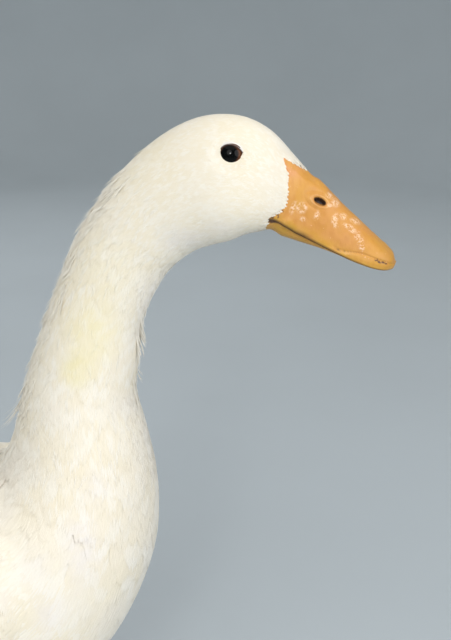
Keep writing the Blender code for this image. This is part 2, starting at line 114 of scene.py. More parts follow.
# The groove over the lip as (forward, up); the nostril's middle, half length, half height and tilt; the
# nail's middle and half sizes; scuffs and dark flecks as (forward, up, half length, half height); and one
# ring of scuffs as (forward, up, radius, half width).
GROOVE = [(2, 1.4), (4.2, 0.9), (10.4, -0.1), (16.5, -0.8), (22.5, -1.3), (30, -1.8), (37, -1.4), (44, 0.6),
          (48, 1.3), (53, 1.5), (58, 1.6), (62, 1.3)]
NOSTRIL = (17.6, 16.3, 3.5, 1.75, 6.0)
NAIL = (60.2, 6.4, 5.6)

# Depths and heights of the bill's relief
GROOVE_DEPTH, GROOVE_HALF_WIDTH, LIP_SWELL = 0.38, 0.34, 0.42
NOSTRIL_DEPTH, NOSTRIL_RIM, NOSTRIL_FOLD = 2.6, 0.34, 0.35
NAIL_RELIEF, BUMP_HEIGHT = 0.10, 0.07
SCUFFS = [(6.8, 8.9, 1.0, 2.6), (18.8, 9.6, 0.9, 1.6), (27.6, 11.2, 1.2, 2.0), (29.0, 8.6, 0.8, 1.2),
          (35.0, 10.4, 2.2, 0.8), (37.8, 9.3, 1.6, 0.9), (41.0, 8.0, 1.2, 1.4), (43.6, 5.9, 1.0, 1.6),
          (45.3, 3.6, 0.9, 1.5), (22.8, 16.2, 1.0, 0.7), (25.2, 18.2, 1.8, 1.4), (21.0, 20.0, 1.5, 1.2),
          (38.0, 13.4, 2.4, 0.8), (13.0, 5.6, 1.3, 0.8), (31.0, 13.6, 1.6, 1.0)]
SCUFF_RING = (10.6, 10.4, 1.9, 0.75)
FLECKS = [(-1.4, 1.2, 1.1, 0.7), (0.6, 3.4, 1.0, 0.7), (2.4, 5.4, 0.7, 0.6), (-0.2, 0.6, 0.8, 0.5),
          (1.6, 2.2, 0.6, 0.5)]
TIP_MARKS = [(54.0, 1.0, 1.1, 0.8), (55.8, 0.6, 1.2, 0.7), (57.6, 0.9, 1.2, 0.6), (59.2, 0.8, 0.8, 0.5)]

# The inside of the upper bill, from one rim round to the other: share of the half width, share of the way up
# to the roof.
ROOF = [(-1, 0), (-0.98, 0.5), (-0.9, 0.9), (-0.6, 1), (0, 1), (0.6, 1), (0.9, 0.9), (0.98, 0.5), (1, 0)]

# The eye's middle, its radius and how far it lies from the middle plane; the opening between the lids as half
# length and half height, how far its front corner reaches out and its tilt; the hollow round it: depth, where
# it starts and ends, and its stretch; and how far the pupil's middle lies forward and up from the ball's.
EYE_POINT = (164.8, 431.9)
EYE_RADIUS, EYE_OUT = 6.8, 14.4
EYE_OPENING = (5.6, 4.75)
EYE_CORNER = 0.8
EYE_TILT_DEG = -9.0
EYE_HOLLOW = 1.05
HOLLOW_FROM, HOLLOW_TO, HOLLOW_STRETCH = 4.6, 10.0, 1.1
PUPIL_SHIFT = (-0.9, 0.45)

# The lids' rings: distance outside the opening, height over the ball or the head, the head's share, and how
# dark the rim is there.
LID_ROWS = [
    (0.30, -1.5, 0, 1.0),
    (-0.12, -0.15, 0, 1.0),
    (-0.06, 0.16, 0, 1.0),
    (0.16, 0.30, 0, 0.75),
    (0.5, 0.26, 0.35, 0.3),
    (0.95, 0.12, 0.8, 0.0),
    (1.6, -0.12, 1, 0.0),
    (2.6, -0.8, 1, 0.0),
    (2.2, -2.2, 1, 0.0),
]

# The folded wing: its thickness and edge, how soon it is thick from its ends and how round, where it starts
# and ends along the body, and its two borders as turns round the body in degrees.
WING_THICKNESS, WING_EDGE = 9.0, 1.2
WING_END_REACH, WING_ROUNDNESS = 0.9, 0.6
WING_FRONT, WING_TIP = 5.35, 0.12
WING_LOWER_DEG = [(0.12, 40), (0.6, 26), (1.4, 2), (2.4, -16), (3.4, -22), (4.4, -16), (5.0, 0), (5.35, 18)]
WING_UPPER_DEG = [(0.12, 52), (0.6, 58), (1.4, 64), (2.4, 66), (3.4, 66), (4.4, 60), (5.0, 54), (5.35, 36)]

# The tail: distance behind its root, rise of its middle, and shares of the root's half thickness and width;
# the millimetres of tail for one step of the rear coat; and the arch of its fan.
TAIL_STEP, TAIL_ARCH = 24.0, 0.0022
TAIL_SECTIONS = [
    (0.0, 0.0, 1.0, 1.0),
    (12, 1.2, 0.82, 1.04),
    (26, 4.5, 0.60, 1.08),
    (40, 10.0, 0.41, 1.09),
    (54, 17.0, 0.25, 1.02),
    (66, 24.0, 0.14, 0.84),
    (74, 29.0, 0.09, 0.58),
    (78, 31.5, 0.06, 0.30),
]

# The thigh from its root down to the hock: middle, half length and half width.
THIGH = [(-44, 38, 140, 46, 27), (-48, 41, 118, 42, 26), (-52, 43, 101, 33, 22), (-56.5, 44.5, 86, 20, 16),
         (-60, 45, 74.35, 10.0, 9.2)]

# Each leg on its own side of the middle plane: hock, joint of the toes, and the shank's share of the way
# down, half length and half width.
HOCK = (-60.0, 45.0, 74.0)
FOOT_X, FOOT_Y = -46.0, 43.0
ANKLE_HEIGHT, ANKLE_RADIUS = 13.0, 6.0
SHANK = [(-0.22, 6.2, 5.6), (0.0, 7.0, 6.3), (0.10, 7.5, 6.7), (0.22, 5.9, 5.2), (0.55, 5.0, 4.3),
         (0.85, 5.3, 4.7), (1.0, 5.9, 5.6), (1.10, 5.6, 5.4)]

# The foot: its turn outwards, the direction and length of each toe, and the toes' own measures.
FOOT_TURN_DEG = 6.0
TOES = {"inner": (24.0, 54.0), "middle": (-2.0, 72.0), "outer": (-29.0, 65.0)}
TOE_HALF_WIDTH, TOE_ROOT_HEIGHT, TOE_TIP_HEIGHT = 3.6, 7.2, 3.6
TOE_JOINTS, KNUCKLE_SWELL = 3, 0.14
HEEL_RADIUS = 8.5
WEB_THICKNESS, WEB_HOLLOW = 1.7, 0.16
HIND_TOE_START, HIND_TOE_TURN_DEG = 9.2, 18.0
HIND_TOE = [(-4.0, 8.0, 2.6), (0.0, 7.5, 3.0), (5.0, 6.2, 3.0), (10.0, 4.0, 2.5), (13.5, 2.6, 1.7)]
TOE_SCALE, SHANK_SCALE = 2.3, 2.7

# A broad feather: shares of its length and of its width there; and its section, round from its lower face, as
# shares of half its width and of its camber.
VANE_OUTLINE = [(0, 0.3), (0.1, 0.62), (0.45, 1), (0.78, 0.96), (0.9, 0.8), (0.965, 0.5), (1, 0)]
VANE_SECTION = [(-0.5, -0.5), (0.5, -0.5), (1.0, 0.0), (0.5, 0.55), (0.04, 1.0), (-0.04, 1.0), (-0.5, 0.55),
                (-1.0, 0.0)]

# How lengths and depths of the tufts vary, and the least height of a strand's ridge in metres.
LENGTHS_VARY, DEPTHS_VARY = (0.88, 1.12), (0.85, 1.15)
THINNEST = 0.00004

# A draped strand is left out where the skin squeezes, stretches or bends it more than this.
LEAST_PACE, MOST_PACE, LEAST_BEND = 0.4, 1.7, 0.65

# Where a feather's own patch lies on the unwrapped skin, as shares of the whole.
PATCH_MARGIN, PATCH_ROOM, PATCH_SIZE = 0.01, 0.975, 0.003

# How deep the coat is on the body, along the stations, and its share close to the bill and how far that goes.
NEAR_BILL_SHARE, NEAR_BILL_REACH = 0.35, 7
COAT_DEPTH = [(0, 0.9), (3, 1.0), (6, 0.75), (8, 0.6), (10, 0.5), (12, 0.42), (13, 0.35), (14, 0.28),
              (19, 0.22)]

# The skin: how near to each other two forms meet, in metres; how far from such a line it is smoothed wholly
# and not at all, in millimetres, and how often; and how much wing and thigh stand off their own surfaces.
TOUCHING = 0.0025
SOFT_FROM, SOFT_TO, SOFT_TURNS = 5, 12, 40
WING_UNDER_QUILLS, WING_INTO_TRUNK, THIGH_OVER_FORM = 0.0022, 0.006, 0.0016

# The bare rims in the coat: behind the bill in millimetres, and round the eyes as a share of the opening.
BARE_AT_BILL, BARE_AT_EYE = 0.15, 1.09

# How far apart the feathers' roots are, in metres, and how many places are tried for each one that fits.
TRIES = 6
FACE_SPACING, HEAD_SPACING = 0.00088, 0.00112
WISP_SPACING, HAIR_SPACING = 0.0046, 0.0021
BODY_SPACING, SHOULDER_SPACING, THIGH_SPACING = 0.0062, 0.009, 0.0046

# The neck's coat: name, first and last section and spacing. Its fringes at nape and throat: spacing, first
# and last section, and turns in degrees.
NECK_BANDS = [("coat_neck_upper", 10.3, 13.3, 0.0025), ("coat_neck_lower", 6.9, 10.3, 0.0029)]
NECK_FRINGES = [(0.0036, 8.3, 13.4, (72, 128)), (0.0052, 9.0, 12.6, (248, 282))]
HAIRS_TURN = 0.8

# The trunk's coat: name, first and last section. Sections below 0 lie along the tail.
BODY_BANDS = [
    ("coat_breast_upper", 5.7, 7.3),
    ("coat_breast", 4.1, 5.7),
    ("coat_trunk", 1.8, 4.1),
    ("coat_rump", -0.1, 1.8),
    ("coat_tail_coverts", -1.75, -0.1),
]
TAIL_FEATHERS = 18

# Locks that stand out from the neck: section, turn in degrees, length, width, lift and sideways curl.
STRAY_LOCKS = [
    (17.75, 226, 4, 1.8, 0.4, 0.1),
    (17.55, 229, 4, 1.6, 0.4, -0.1),
    (11.15, 257, 14, 3.4, 2.4, 0.10),
    (11.05, 268, 15, 4.0, 3.0, -0.05),
    (10.95, 262, 15, 4.4, 4.0, 0.0),
    (10.75, 255, 14, 3.8, 3.2, 0.12),
    (10.70, 266, 13, 3.2, 3.0, -0.08),
    (10.15, 259, 10, 2.2, 1.8, 0.1),
    (9.78, 266, 10, 1.8, 3.6, 0.35),
    (9.2, 261, 11, 2.2, 1.4, 0.0),
    (13.25, 97, 11, 1.6, 1.8, 0.0),
    (12.3, 92, 13, 1.6, 2.0, 0.1),
    (11.2, 128, 15, 1.8, 1.6, 0.1),
    (10.75, 100, 16, 1.8, 2.2, -0.1),
    (9.9, 96, 17, 1.8, 2.4, 0.0),
    (9.2, 100, 18, 2.0, 2.8, 0.1),
    (8.92, 99, 38, 1.5, 8.0, 0.05),
    (8.86, 103, 27, 1.3, 5.5, 0.02),
    (8.75, 96, 18, 1.3, 3.0, 0.0),
]

# What the broad feathers of wing and shoulder have in common, and what the fine ones of the neck do.
COVERTS = dict(strands=13, rows=4, thick=0.06, outer_short=0.22, strand_width=2.4, sink=0.9, narrow_root=0.55,
               crown=0.15)
LOOSE = dict(strands=3, rows=4, sink=1.0, tones=(0.8, 1.0))

# Stains and painted shade of the plumage: section and turn, size in millimetres, strength, and their colour:
# yellow stains on neck and nape, and painted shade, a cool, faint lavender, on breast, throat and cheek.
STAINS_AND_SHADE = [
    ((9.85, 177), (14, 20, 14), 0.8, "yellow"),
    ((10.6, 184), (22, 22, 26), 0.6, "yellow"),
    ((11.6, 180), (24, 26, 42), 0.2, "yellow"),
    ((13.8, 100), (34, 30, 30), 0.16, "yellow"),
    ((16.0, 110), (24, 24, 18), 0.12, "yellow"),
    ((6.3, 190), (15, 20, 30), 0.6, "lavender_shade"),
    ((5.3, 187), (13, 20, 20), 0.45, "lavender_shade"),
    ((7.3, 196), (10, 14, 16), 0.4, "lavender_shade"),
    ((5.6, 168), (16, 20, 16), 0.3, "lavender_shade"),
    ((13.5, 222), (18, 16, 12), 0.45, "lavender_shade"),
    ((15.2, 222), (14, 12, 8), 0.3, "lavender_shade"),
    ((11.5, 245), (12, 16, 26), 0.3, "lavender_shade"),
]
BRIGHTEST = 0.93

# Name, place, aim, size, watts and colour of each light, and the light that comes from everywhere.
STAGE_LIGHTS = [
    ("catch", (0.02, -0.95, 0.78), (0.16, 0, 0.42), 0.16, 2.6, (1.0, 0.99, 0.97)),
    ("key", (-0.35, -1.5, 1.25), (0.05, 0, 0.30), 1.3, 10.0, (1.0, 0.985, 0.96)),
    ("fill", (1.5, -1.0, 0.9), (0.05, 0, 0.25), 1.6, 18.0, (0.99, 0.98, 1.0)),
    ("back", (-0.6, 1.7, 1.6), (0.0, 0, 0.25), 1.4, 8.0, (0.98, 0.98, 1.0)),
]
WORLD_LIGHT, WORLD_COLOUR = 0.98, (1.0, 0.98, 0.95, 1)

# The camera's place, its dip below level and its lens.
CAMERA_PLACE = (0.16745, -0.44913, 0.48453)
CAMERA_DIP_DEG = 17.5
CAMERA_LENS, CAMERA_NEAREST = 50, 0.02


def length_setting(name, description, default):
    return bpy.props.FloatProperty(name=name, description=description, default=default, unit="LENGTH")


def colour_setting(name, description, default):
    return bpy.props.FloatVectorProperty(
        name=name, description=description, subtype="COLOR", size=3, default=default
    )


class DuckSizes(bpy.types.PropertyGroup):
    leg_voxel: length_setting("Leg mesh", "Size of the legs' faces", 0.0006)
    skin_voxel: length_setting("Skin mesh", "Size of the skin's faces", 0.0019)
    head_tuft: length_setting("Head tuft", "Length of the tufts on the head", 0.0052)
    neck_tuft: length_setting("Neck tuft", "Length of the tufts on the neck", 0.0175)
    body_feather: length_setting("Body feather", "Length of the feathers on breast and back", 0.030)
    floor_radius: length_setting("Floor", "Radius of the round floor", 3.4)


class DuckColours(bpy.types.PropertyGroup):
    feather: colour_setting("Feather", "White of the plumage", (0.83, 0.765, 0.635))
    stain: colour_setting("Stain", "Yellow stain on the neck", (0.80, 0.72, 0.42))
    # Painted shade: the cool lavender of shaded patches on breast, throat and cheek
    lavender_shade: colour_setting("Lavender", "Cool patches", (0.79, 0.755, 0.755))
    bill: colour_setting("Bill", "Orange of the bill", (0.62, 0.285, 0.053))
    leg: colour_setting("Leg", "Orange of legs and feet", (0.80, 0.30, 0.05))
    iris: colour_setting("Iris", "Brown of the iris", (0.10, 0.035, 0.015))
    floor: colour_setting("Floor", "Colour of floor and backdrop", (0.47, 0.52, 0.55))


# Curves and surfaces


def spline(rows, t):
    """A Catmull-Rom curve through equally spaced rows of numbers, read at every t."""
    rows, t = np.asarray(rows, float), np.asarray(t, float)
    last = len(rows) - 1
    i = np.clip(np.floor(t).astype(int), 0, last - 1)
    f = (t - i)[..., None]
    a, b = rows[np.maximum(i - 1, 0)], rows[i]
    c, d = rows[i + 1], rows[np.minimum(i + 2, last)]
    return 0.5 * (2 * b + (c - a) * f + (2 * a - 5 * b + 4 * c - d) * f**2 + (3 * b - a - 3 * c + d) * f**3)


def read_table(table, x):
    """The same kind of curve through (place, value, ...) rows with any spacing."""
    table = np.asarray(table, float)
    places = table[:, 0]
    x = np.clip(x, places[0], places[-1])
    i = np.clip(np.searchsorted(places, x, side="right") - 1, 0, len(places) - 2)
    values = spline(table[:, 1:], i + (x - places[i]) / (places[i + 1] - places[i]))
    return values[..., 0] if table.shape[1] == 2 else values


def ease(x, start, end):
    """From 0 at start to 1 at end, smoothly."""
    s = np.clip((np.asarray(x, float) - start) / (end - start), 0, 1)
    return s * s * (3 - 2 * s)


def bell(x, half_width):
    """1 at 0, and softly down to 0 on both sides."""
    return np.exp(-((x / half_width) ** 2))


def station(name):
    return float(STATION_NAMES.index(name))


def unit(v):
    return v / np.maximum(np.linalg.norm(v, axis=-1, keepdims=True), 1e-12)


def dot(a, b):
    return np.sum(a * b, axis=-1)


def grid(p_values, q_values):
    return np.meshgrid(p_values, q_values, indexing="ij")


def full_turn(count):
    """Angles that go once round in equal steps."""
    return np.linspace(0, 2 * math.pi, count + 1)[:-1]


def surface_step(along, around, way):
    """The steps in p and q that go one metre in a way of the surface with these two tangents."""
    e, f, g = dot(along, along), dot(along, around), dot(around, around)
    room = np.maximum(e * g - f * f, 1e-14)
    a, b = dot(way, along), dot(way, around)
    return (g * a - f * b) / room, (e * b - f * a) / room


STATION_ROWS = np.array([[*u, *v, w, n, q] for u, v, w, n, q in BODY_STATIONS.values()], float)
TAIL_TOP, TAIL_BOTTOM, TAIL_HALF_WIDTH = STATION_ROWS[0, :2], STATION_ROWS[0, 2:4], STATION_ROWS[0, 4]
TAIL_THICKNESS = math.hypot(*(TAIL_TOP - TAIL_BOTTOM))


def turned(x, y, z, share):
    """Points in millimetres, turned with the head by a share of its turn, in the frame's metres."""
    a = math.radians(-HEAD_TURN_DEG) * share
    ahead = x - HEAD_TURN_X
    across = ahead * np.sin(a) + y * np.cos(a)
    ahead = ahead * np.cos(a) - y * np.sin(a)
    return np.stack(np.broadcast_arrays(HEAD_TURN_X + ahead - MIDDLE_X, across, z), axis=-1) * MM


def body(t, angle):
    """The body's surface. Angle 0 is the left side, and a quarter turn is the back."""
    ux, uz, vx, vz, width, narrow, square = np.moveaxis(spline(STATION_ROWS, t), -1, 0)
    c, s = np.cos(angle), np.sin(angle)
    along = np.sign(s) * np.abs(s) ** (2 / square)
    across = np.sign(c) * np.abs(c) ** (2 / square) * (1 - narrow * s) * width
    x, z = (ux + vx) / 2 + (ux - vx) / 2 * along, (uz + vz) / 2 + (uz - vz) / 2 * along
    return turned(x, across, z, ease(t, station(TURN_STARTS), station(TURN_ENDS)))


def bill_to_frame(forward, side, up):
    """From the bill's own axes, in millimetres, to the frame."""
    pitch = math.radians(BILL_PITCH_DEG)
    x = MOUTH_CORNER[0] + forward * math.cos(pitch) + up * math.sin(pitch)
    z = MOUTH_CORNER[1] - forward * math.sin(pitch) + up * math.cos(pitch)
    return turned(x, side, z, 1.0)


def frame_to_bill(points):
    """From the frame to the bill's own axes: forward, side and up, in millimetres."""
    a, pitch = math.radians(HEAD_TURN_DEG), math.radians(BILL_PITCH_DEG)
    x, y, z = np.moveaxis(np.asarray(points) / MM, -1, 0)
    x = x + MIDDLE_X - HEAD_TURN_X
    side = x * math.sin(a) + y * math.cos(a)
    x = x * math.cos(a) - y * math.sin(a) + HEAD_TURN_X - MOUTH_CORNER[0]
    z = z - MOUTH_CORNER[1]
    forward = x * math.cos(pitch) - z * math.sin(pitch)
    return forward, side, x * math.sin(pitch) + z * math.cos(pitch)


def behind_bill(points):
    """How far points of the head lie behind the line where the feathers end, in millimetres."""
    forward, _, up = frame_to_bill(points)
    line = read_table(FEATHER_LINE, up)
    wedge_front, wedge_up = FEATHER_WEDGE
    top_up, top_forward = FEATHER_LINE[-1]
    along_wedge = (forward - top_forward) / (wedge_front - top_forward)
    above_wedge = up - (top_up + (wedge_up - top_up) * np.clip(along_wedge, 0, 1))
    on_wedge = np.minimum(above_wedge * 2.0, wedge_front - forward)
    return np.maximum(line - forward, on_wedge)


class Surface:
    """A form that feathers are laid on. Its feathers run against the first of its two ways."""

    def __init__(self, shape, side=1, p_range=(0, 1), q_range=(0, 1), step=0.02):
        self.shape, self.side, self.step = shape, side, step
        self.p_range, self.q_range = p_range, q_range

    def at(self, p, q):
        return self.shape(p, q) * np.array([1, self.side, 1])

    def lie(self, p, q):
        """Point, the two tangents and the outward normal."""
        step = self.step
        along = (self.at(p + step, q) - self.at(p - step, q)) / (2 * step)
        around = (self.at(p, q + step) - self.at(p, q - step)) / (2 * step)
        return self.at(p, q), along, around, unit(np.cross(around, along)) * self.side

    def share(self, p, q):
        """How far p and q lie along their ranges, as shares."""
        (p0, p1), (q0, q1) = self.p_range, self.q_range
        return (p - p0) / (p1 - p0), (q - q0) / (q1 - q0)

    def raised(self, p, q, height):
        """Points at a height over the surface, in metres."""
        point, _, _, normal = self.lie(p, q)
        return point + normal * height[..., None]

    def ways(self, p, q, heading):
        """Steps in p and q for one metre down the coat, turned by heading, and for one metre across."""
        _, along, around, normal = self.lie(p, q)
        down = -unit(along)
        side = np.cross(normal, down)
        c, s = np.cos(heading)[..., None], np.sin(heading)[..., None]
        return [surface_step(along, around, way) for way in (down * c + side * s, side * c - down * s)]


def wing_borders(t):
    return np.radians(read_table(WING_LOWER_DEG, t)), np.radians(read_table(WING_UPPER_DEG, t))


def eye_centre(side):
    return turned(np.array(EYE_POINT[0]), np.array(side * EYE_OUT), np.array(EYE_POINT[1]), 1.0)


def eye_axes(side):
    """The eye's middle, and its outward, forward and upward ways."""
    turn, tilt = math.radians(-HEAD_TURN_DEG), math.radians(EYE_TILT_DEG)
    c, s = math.cos(turn), math.sin(turn)
    x, y, z = unit(np.array([0.05, side, 0.10]))
    outward = np.array([x * c - y * s, x * s + y * c, z])
    forward = np.array([math.cos(tilt) * c, math.cos(tilt) * s, math.sin(tilt)])
    forward = unit(forward - outward * dot(forward, outward))
    return eye_centre(side), outward, forward, np.cross(outward, forward) * -side


def body_with_sockets(t, angle):
    """The body's surface with a shallow hollow round each eye."""
    points = body(t, angle)
    for side in (1, -1):
        centre, outward, forward, upward = eye_axes(side)
        off = (points - centre) / MM
        out = dot(off, outward)
        far = np.hypot(dot(off, forward) / HOLLOW_STRETCH, dot(off, upward))
        deep = EYE_HOLLOW * (1 - ease(far, HOLLOW_FROM, HOLLOW_TO)) * (out > 0)
        points = points - outward * (deep * MM)[..., None]
    return points


BODY = Surface(body_with_sockets, p_range=(0, 19), q_range=(0, 2 * math.pi))


def wing(t, s):
    """The outer face of the folded left wing: s goes from its lower border to its upper one."""
    low, high = wing_borders(t)
    ends = np.maximum(np.minimum(t - WING_TIP + 0.05, (WING_FRONT - t) * 1.6 + 0.05), 0)
    bulge = WING_THICKNESS * np.minimum(1.0, ends / WING_END_REACH) ** WING_ROUNDNESS
    inside = np.clip(4 * s * (1 - s), 0.0, 1)
    rise = WING_EDGE + bulge * inside**WING_ROUNDNESS
    return BODY.raised(t, low + (high - low) * s, rise * MM)


def behind_tail_root(distance, y, height):
    """A place at a distance behind the tail's root, sideways and over its middle, all in millimetres."""
    middle_x, middle_z = (TAIL_TOP + TAIL_BOTTOM) / 2
    up_x, up_z = (TAIL_TOP - TAIL_BOTTOM) / TAIL_THICKNESS
    x = middle_x - up_z * distance + up_x * height
    return turned(x, y, middle_z + up_x * distance + up_z * height, 0.0)


def tail(distance, angle):
    """The tail's surface: distance behind its root, and angle as on the body."""
    rise, thick, wide = np.moveaxis(read_table(TAIL_SECTIONS, distance), -1, 0)
    height = rise + np.sin(angle) * (TAIL_THICKNESS / 2) * thick
    return behind_tail_root(distance, np.cos(angle) * TAIL_HALF_WIDTH * wide, height)


def tail_sheet(p, q):
    """The middle sheet of the tail fan, from the tip towards the root and across, in millimetres."""
    y = -q
    return behind_tail_root(-p, y, read_table(TAIL_SECTIONS, -p)[..., 0] - TAIL_ARCH * y**2)


def rear(p, angle):
    """The trunk's rear and the tail in one: p above 0 is the body's, and below 0 runs out along the tail."""
    on_body = body(np.maximum(p, 0), angle)
    on_tail = tail(np.maximum(-p, 0) * TAIL_STEP, angle)
    return np.where((p < 0)[..., None], on_tail, on_body)


def thigh(p, angle):
    """The left thigh from its root at 0 down to the hock at 4."""
    x, y, z, half_x, half_y = np.moveaxis(spline(THIGH, p), -1, 0)
    return turned(x + half_x * np.cos(angle), y + half_y * np.sin(angle), z, 0.0)


def coat_depth(t):
    return read_table(COAT_DEPTH, t) * MM


HEAD_MIDDLE = tuple(turned(np.array(165.0), np.array(0.0), np.array(415.0), 1.0))
REAR = Surface(rear, p_range=(-3.3, 7.5), q_range=(0, 2 * math.pi))


# Meshes


def material_of(name):
    return bpy.data.materials[name]


def new_object(name, mesh, material):
    obj = bpy.data.objects.new(name, mesh)
    bpy.context.scene.collection.objects.link(obj)
    if material:
        mesh.materials.append(material_of(material))
    return obj


def select_only(*objs):
    bpy.ops.object.select_all(action="DESELECT")
    for obj in objs:
        obj.select_set(True)
    bpy.context.view_layer.objects.active = objs[0]


def apply_modifiers(obj):
    select_only(obj)
    for modifier in list(obj.modifiers):
        bpy.ops.object.modifier_apply(modifier=modifier.name)


def solid(name, points, faces, material=None):
    """A smooth object from points and faces, with all faces turned outwards."""
    mesh = bpy.data.meshes.new(name)
    mesh.from_pydata(points.reshape(-1, 3).tolist(), [], faces)
    obj = new_object(name, mesh, material)
    bm = bmesh.new()
    bm.from_mesh(mesh)
    bmesh.ops.recalc_face_normals(bm, faces=bm.faces)
    bm.to_mesh(mesh)
    bm.free()
    mesh.shade_smooth()
    return obj


def closed_grid(name, rows, material=None):
    """A closed solid from rings of equally many points, as an array of rings x points x 3, in metres."""
    count, around = rows.shape[:2]
    ring = np.arange(around)
    following = (ring + 1) % around
    faces = []
    for i in range(count - 1):
        a, b = i * around, (i + 1) * around
        faces += np.stack([a + ring, a + following, b + following, b + ring], axis=1).tolist()
    faces += [ring[::-1].tolist(), ((count - 1) * around + ring).tolist()]
    return solid(name, rows, faces, material)


def closed_ring(name, rows, material):
    """A closed ring, such as a lid: rows x points x 3, where the last row joins the first."""
    count, around = rows.shape[:2]
    i, k = grid(np.arange(count), np.arange(around))
    after_i, after_k = (i + 1) % count * around, (k + 1) % around
    i = i * around
    faces = np.stack([i + k, i + after_k, after_i + after_k, after_i + k], axis=-1)
    return solid(name, rows, faces.reshape(-1, 4).tolist(), material)


def join(objs):
    """Makes one object of several, and leaves it in the first one's place."""
    select_only(*objs)
    bpy.ops.object.join()
    return objs[0]


def fuse(obj, voxel, smoothings):
    """Makes one even skin of an object's overlapping solids."""
    remesh = obj.modifiers.new("one_skin", "REMESH")
    remesh.mode, remesh.voxel_size = "VOXEL", voxel
    smooth = obj.modifiers.new("even", "SMOOTH")
    smooth.factor, smooth.iterations = 0.5, smoothings
    apply_modifiers(obj)


def give_only(obj, material):
    """Takes all materials from an object and gives it this one."""
    obj.data.materials.clear()
    obj.data.materials.append(material_of(material))
    obj.data.shade_smooth()


def add_mark(obj, name, values):
    """Stores numbers on the points of a mesh for its material: one or three for each."""
    kind, field = ("FLOAT_VECTOR", "vector") if values.ndim > 1 else ("FLOAT", "value")
    mark = obj.data.attributes.new(name, kind, "POINT")
    mark.data.foreach_set(field, values.astype(np.float32).ravel())


def many_blades(name, rings, tips, normals, marks, places):
    """One mesh of many pointed blades: rings is blades x rings x corners x 3, and tips closes each one.

    Normals shade each corner like the coat's own surface, so that it looks soft. Marks hold across, along
    and tone for each corner, and places the root's spot on the unwrapped skin.
    """
    count, rows, corners = rings.shape[:3]
    each = rows * corners + 1
    points = np.concatenate([rings.reshape(count, -1, 3), tips[:, None]], axis=1)
    k = np.arange(corners)
    after = (k + 1) % corners
    quad = np.stack([k, after, corners + after, corners + k], axis=1)
    quads = np.concatenate([quad + row * corners for row in range(rows - 1)])
    last = (rows - 1) * corners
    tip_faces = np.stack([last + k, last + after, np.full(corners, each - 1)], axis=1)
    root = k[::-1]
    one = np.concatenate([quads.ravel(), tip_faces.ravel(), root])
    totals_one = np.concatenate([np.full(len(quads), 4), np.full(corners, 3), [corners]])
    index = (one[None, :] + (np.arange(count) * each)[:, None]).ravel()
    totals = np.tile(totals_one, count)
    # Where each corner of each face lies on the blade's own little patch of the unwrapped skin
    lane, step = k / corners, 1.0 / corners
    u_quads = np.tile(np.stack([lane, lane + step, lane + step, lane], axis=1), (rows - 1, 1)).ravel()
    v_quads = np.repeat(np.arange(rows - 1), corners)[:, None] + np.array([0, 0, 1, 1])
    v_quads = v_quads.ravel() / rows
    u_tip = np.stack([lane, lane + step, lane + step / 2], axis=1).ravel()
    v_tip = np.tile([(rows - 1) / rows, (rows - 1) / rows, 1.0], corners)
    turn = 2 * math.pi * k / corners
    u_root, v_root = 0.5 + 0.4 * np.cos(turn), -0.12 + 0.1 * np.sin(turn)
    u = np.concatenate([u_quads, u_tip, u_root])
    v = np.concatenate([v_quads, v_tip, v_root])
    spots = (PATCH_MARGIN + PATCH_ROOM * places)[:, None, :] + np.stack([u, v], axis=1)[None] * PATCH_SIZE

    mesh = bpy.data.meshes.new(name)
    mesh.vertices.add(count * each)
    mesh.vertices.foreach_set("co", points.astype(np.float32).ravel())
    mesh.loops.add(len(index))
    mesh.loops.foreach_set("vertex_index", index.astype(np.int32))
    mesh.polygons.add(len(totals))
    starts = np.concatenate([[0], np.cumsum(totals)[:-1]])
    mesh.polygons.foreach_set("loop_start", starts.astype(np.int32))
    mesh.polygons.foreach_set("loop_total", totals.astype(np.int32))
    mesh.update(calc_edges=True)
    layer = mesh.uv_layers.new(name="OFBake")
    layer.data.foreach_set("uv", spots.astype(np.float32).ravel())
    mesh.shade_smooth()
    soft = np.concatenate([normals.reshape(count, -1, 3), normals[:, -1].mean(axis=1)[:, None]], axis=1)
    faces = np.empty((len(totals), 3), np.float32)
    mesh.polygons.foreach_get("normal", faces.reshape(-1))
    faces = np.repeat(faces, totals, axis=0)
    soft = unit(soft.reshape(-1, 3))[index]
    soft -= np.minimum(2 * dot(soft, faces), 0)[:, None] * faces  # the undersides face away from the coat
    mesh.normals_split_custom_set(soft.astype(np.float32))
    obj = new_object(name, mesh, "plumage")
    tip_marks = marks[:, -1].mean(axis=1) * [0, 0, 1] + [0, 1, 0]
    add_mark(obj, "vane", np.concatenate([marks.reshape(count, -1, 3), tip_marks[:, None]], axis=1))
    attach(obj, "root")
    return obj


# Laying of feathers


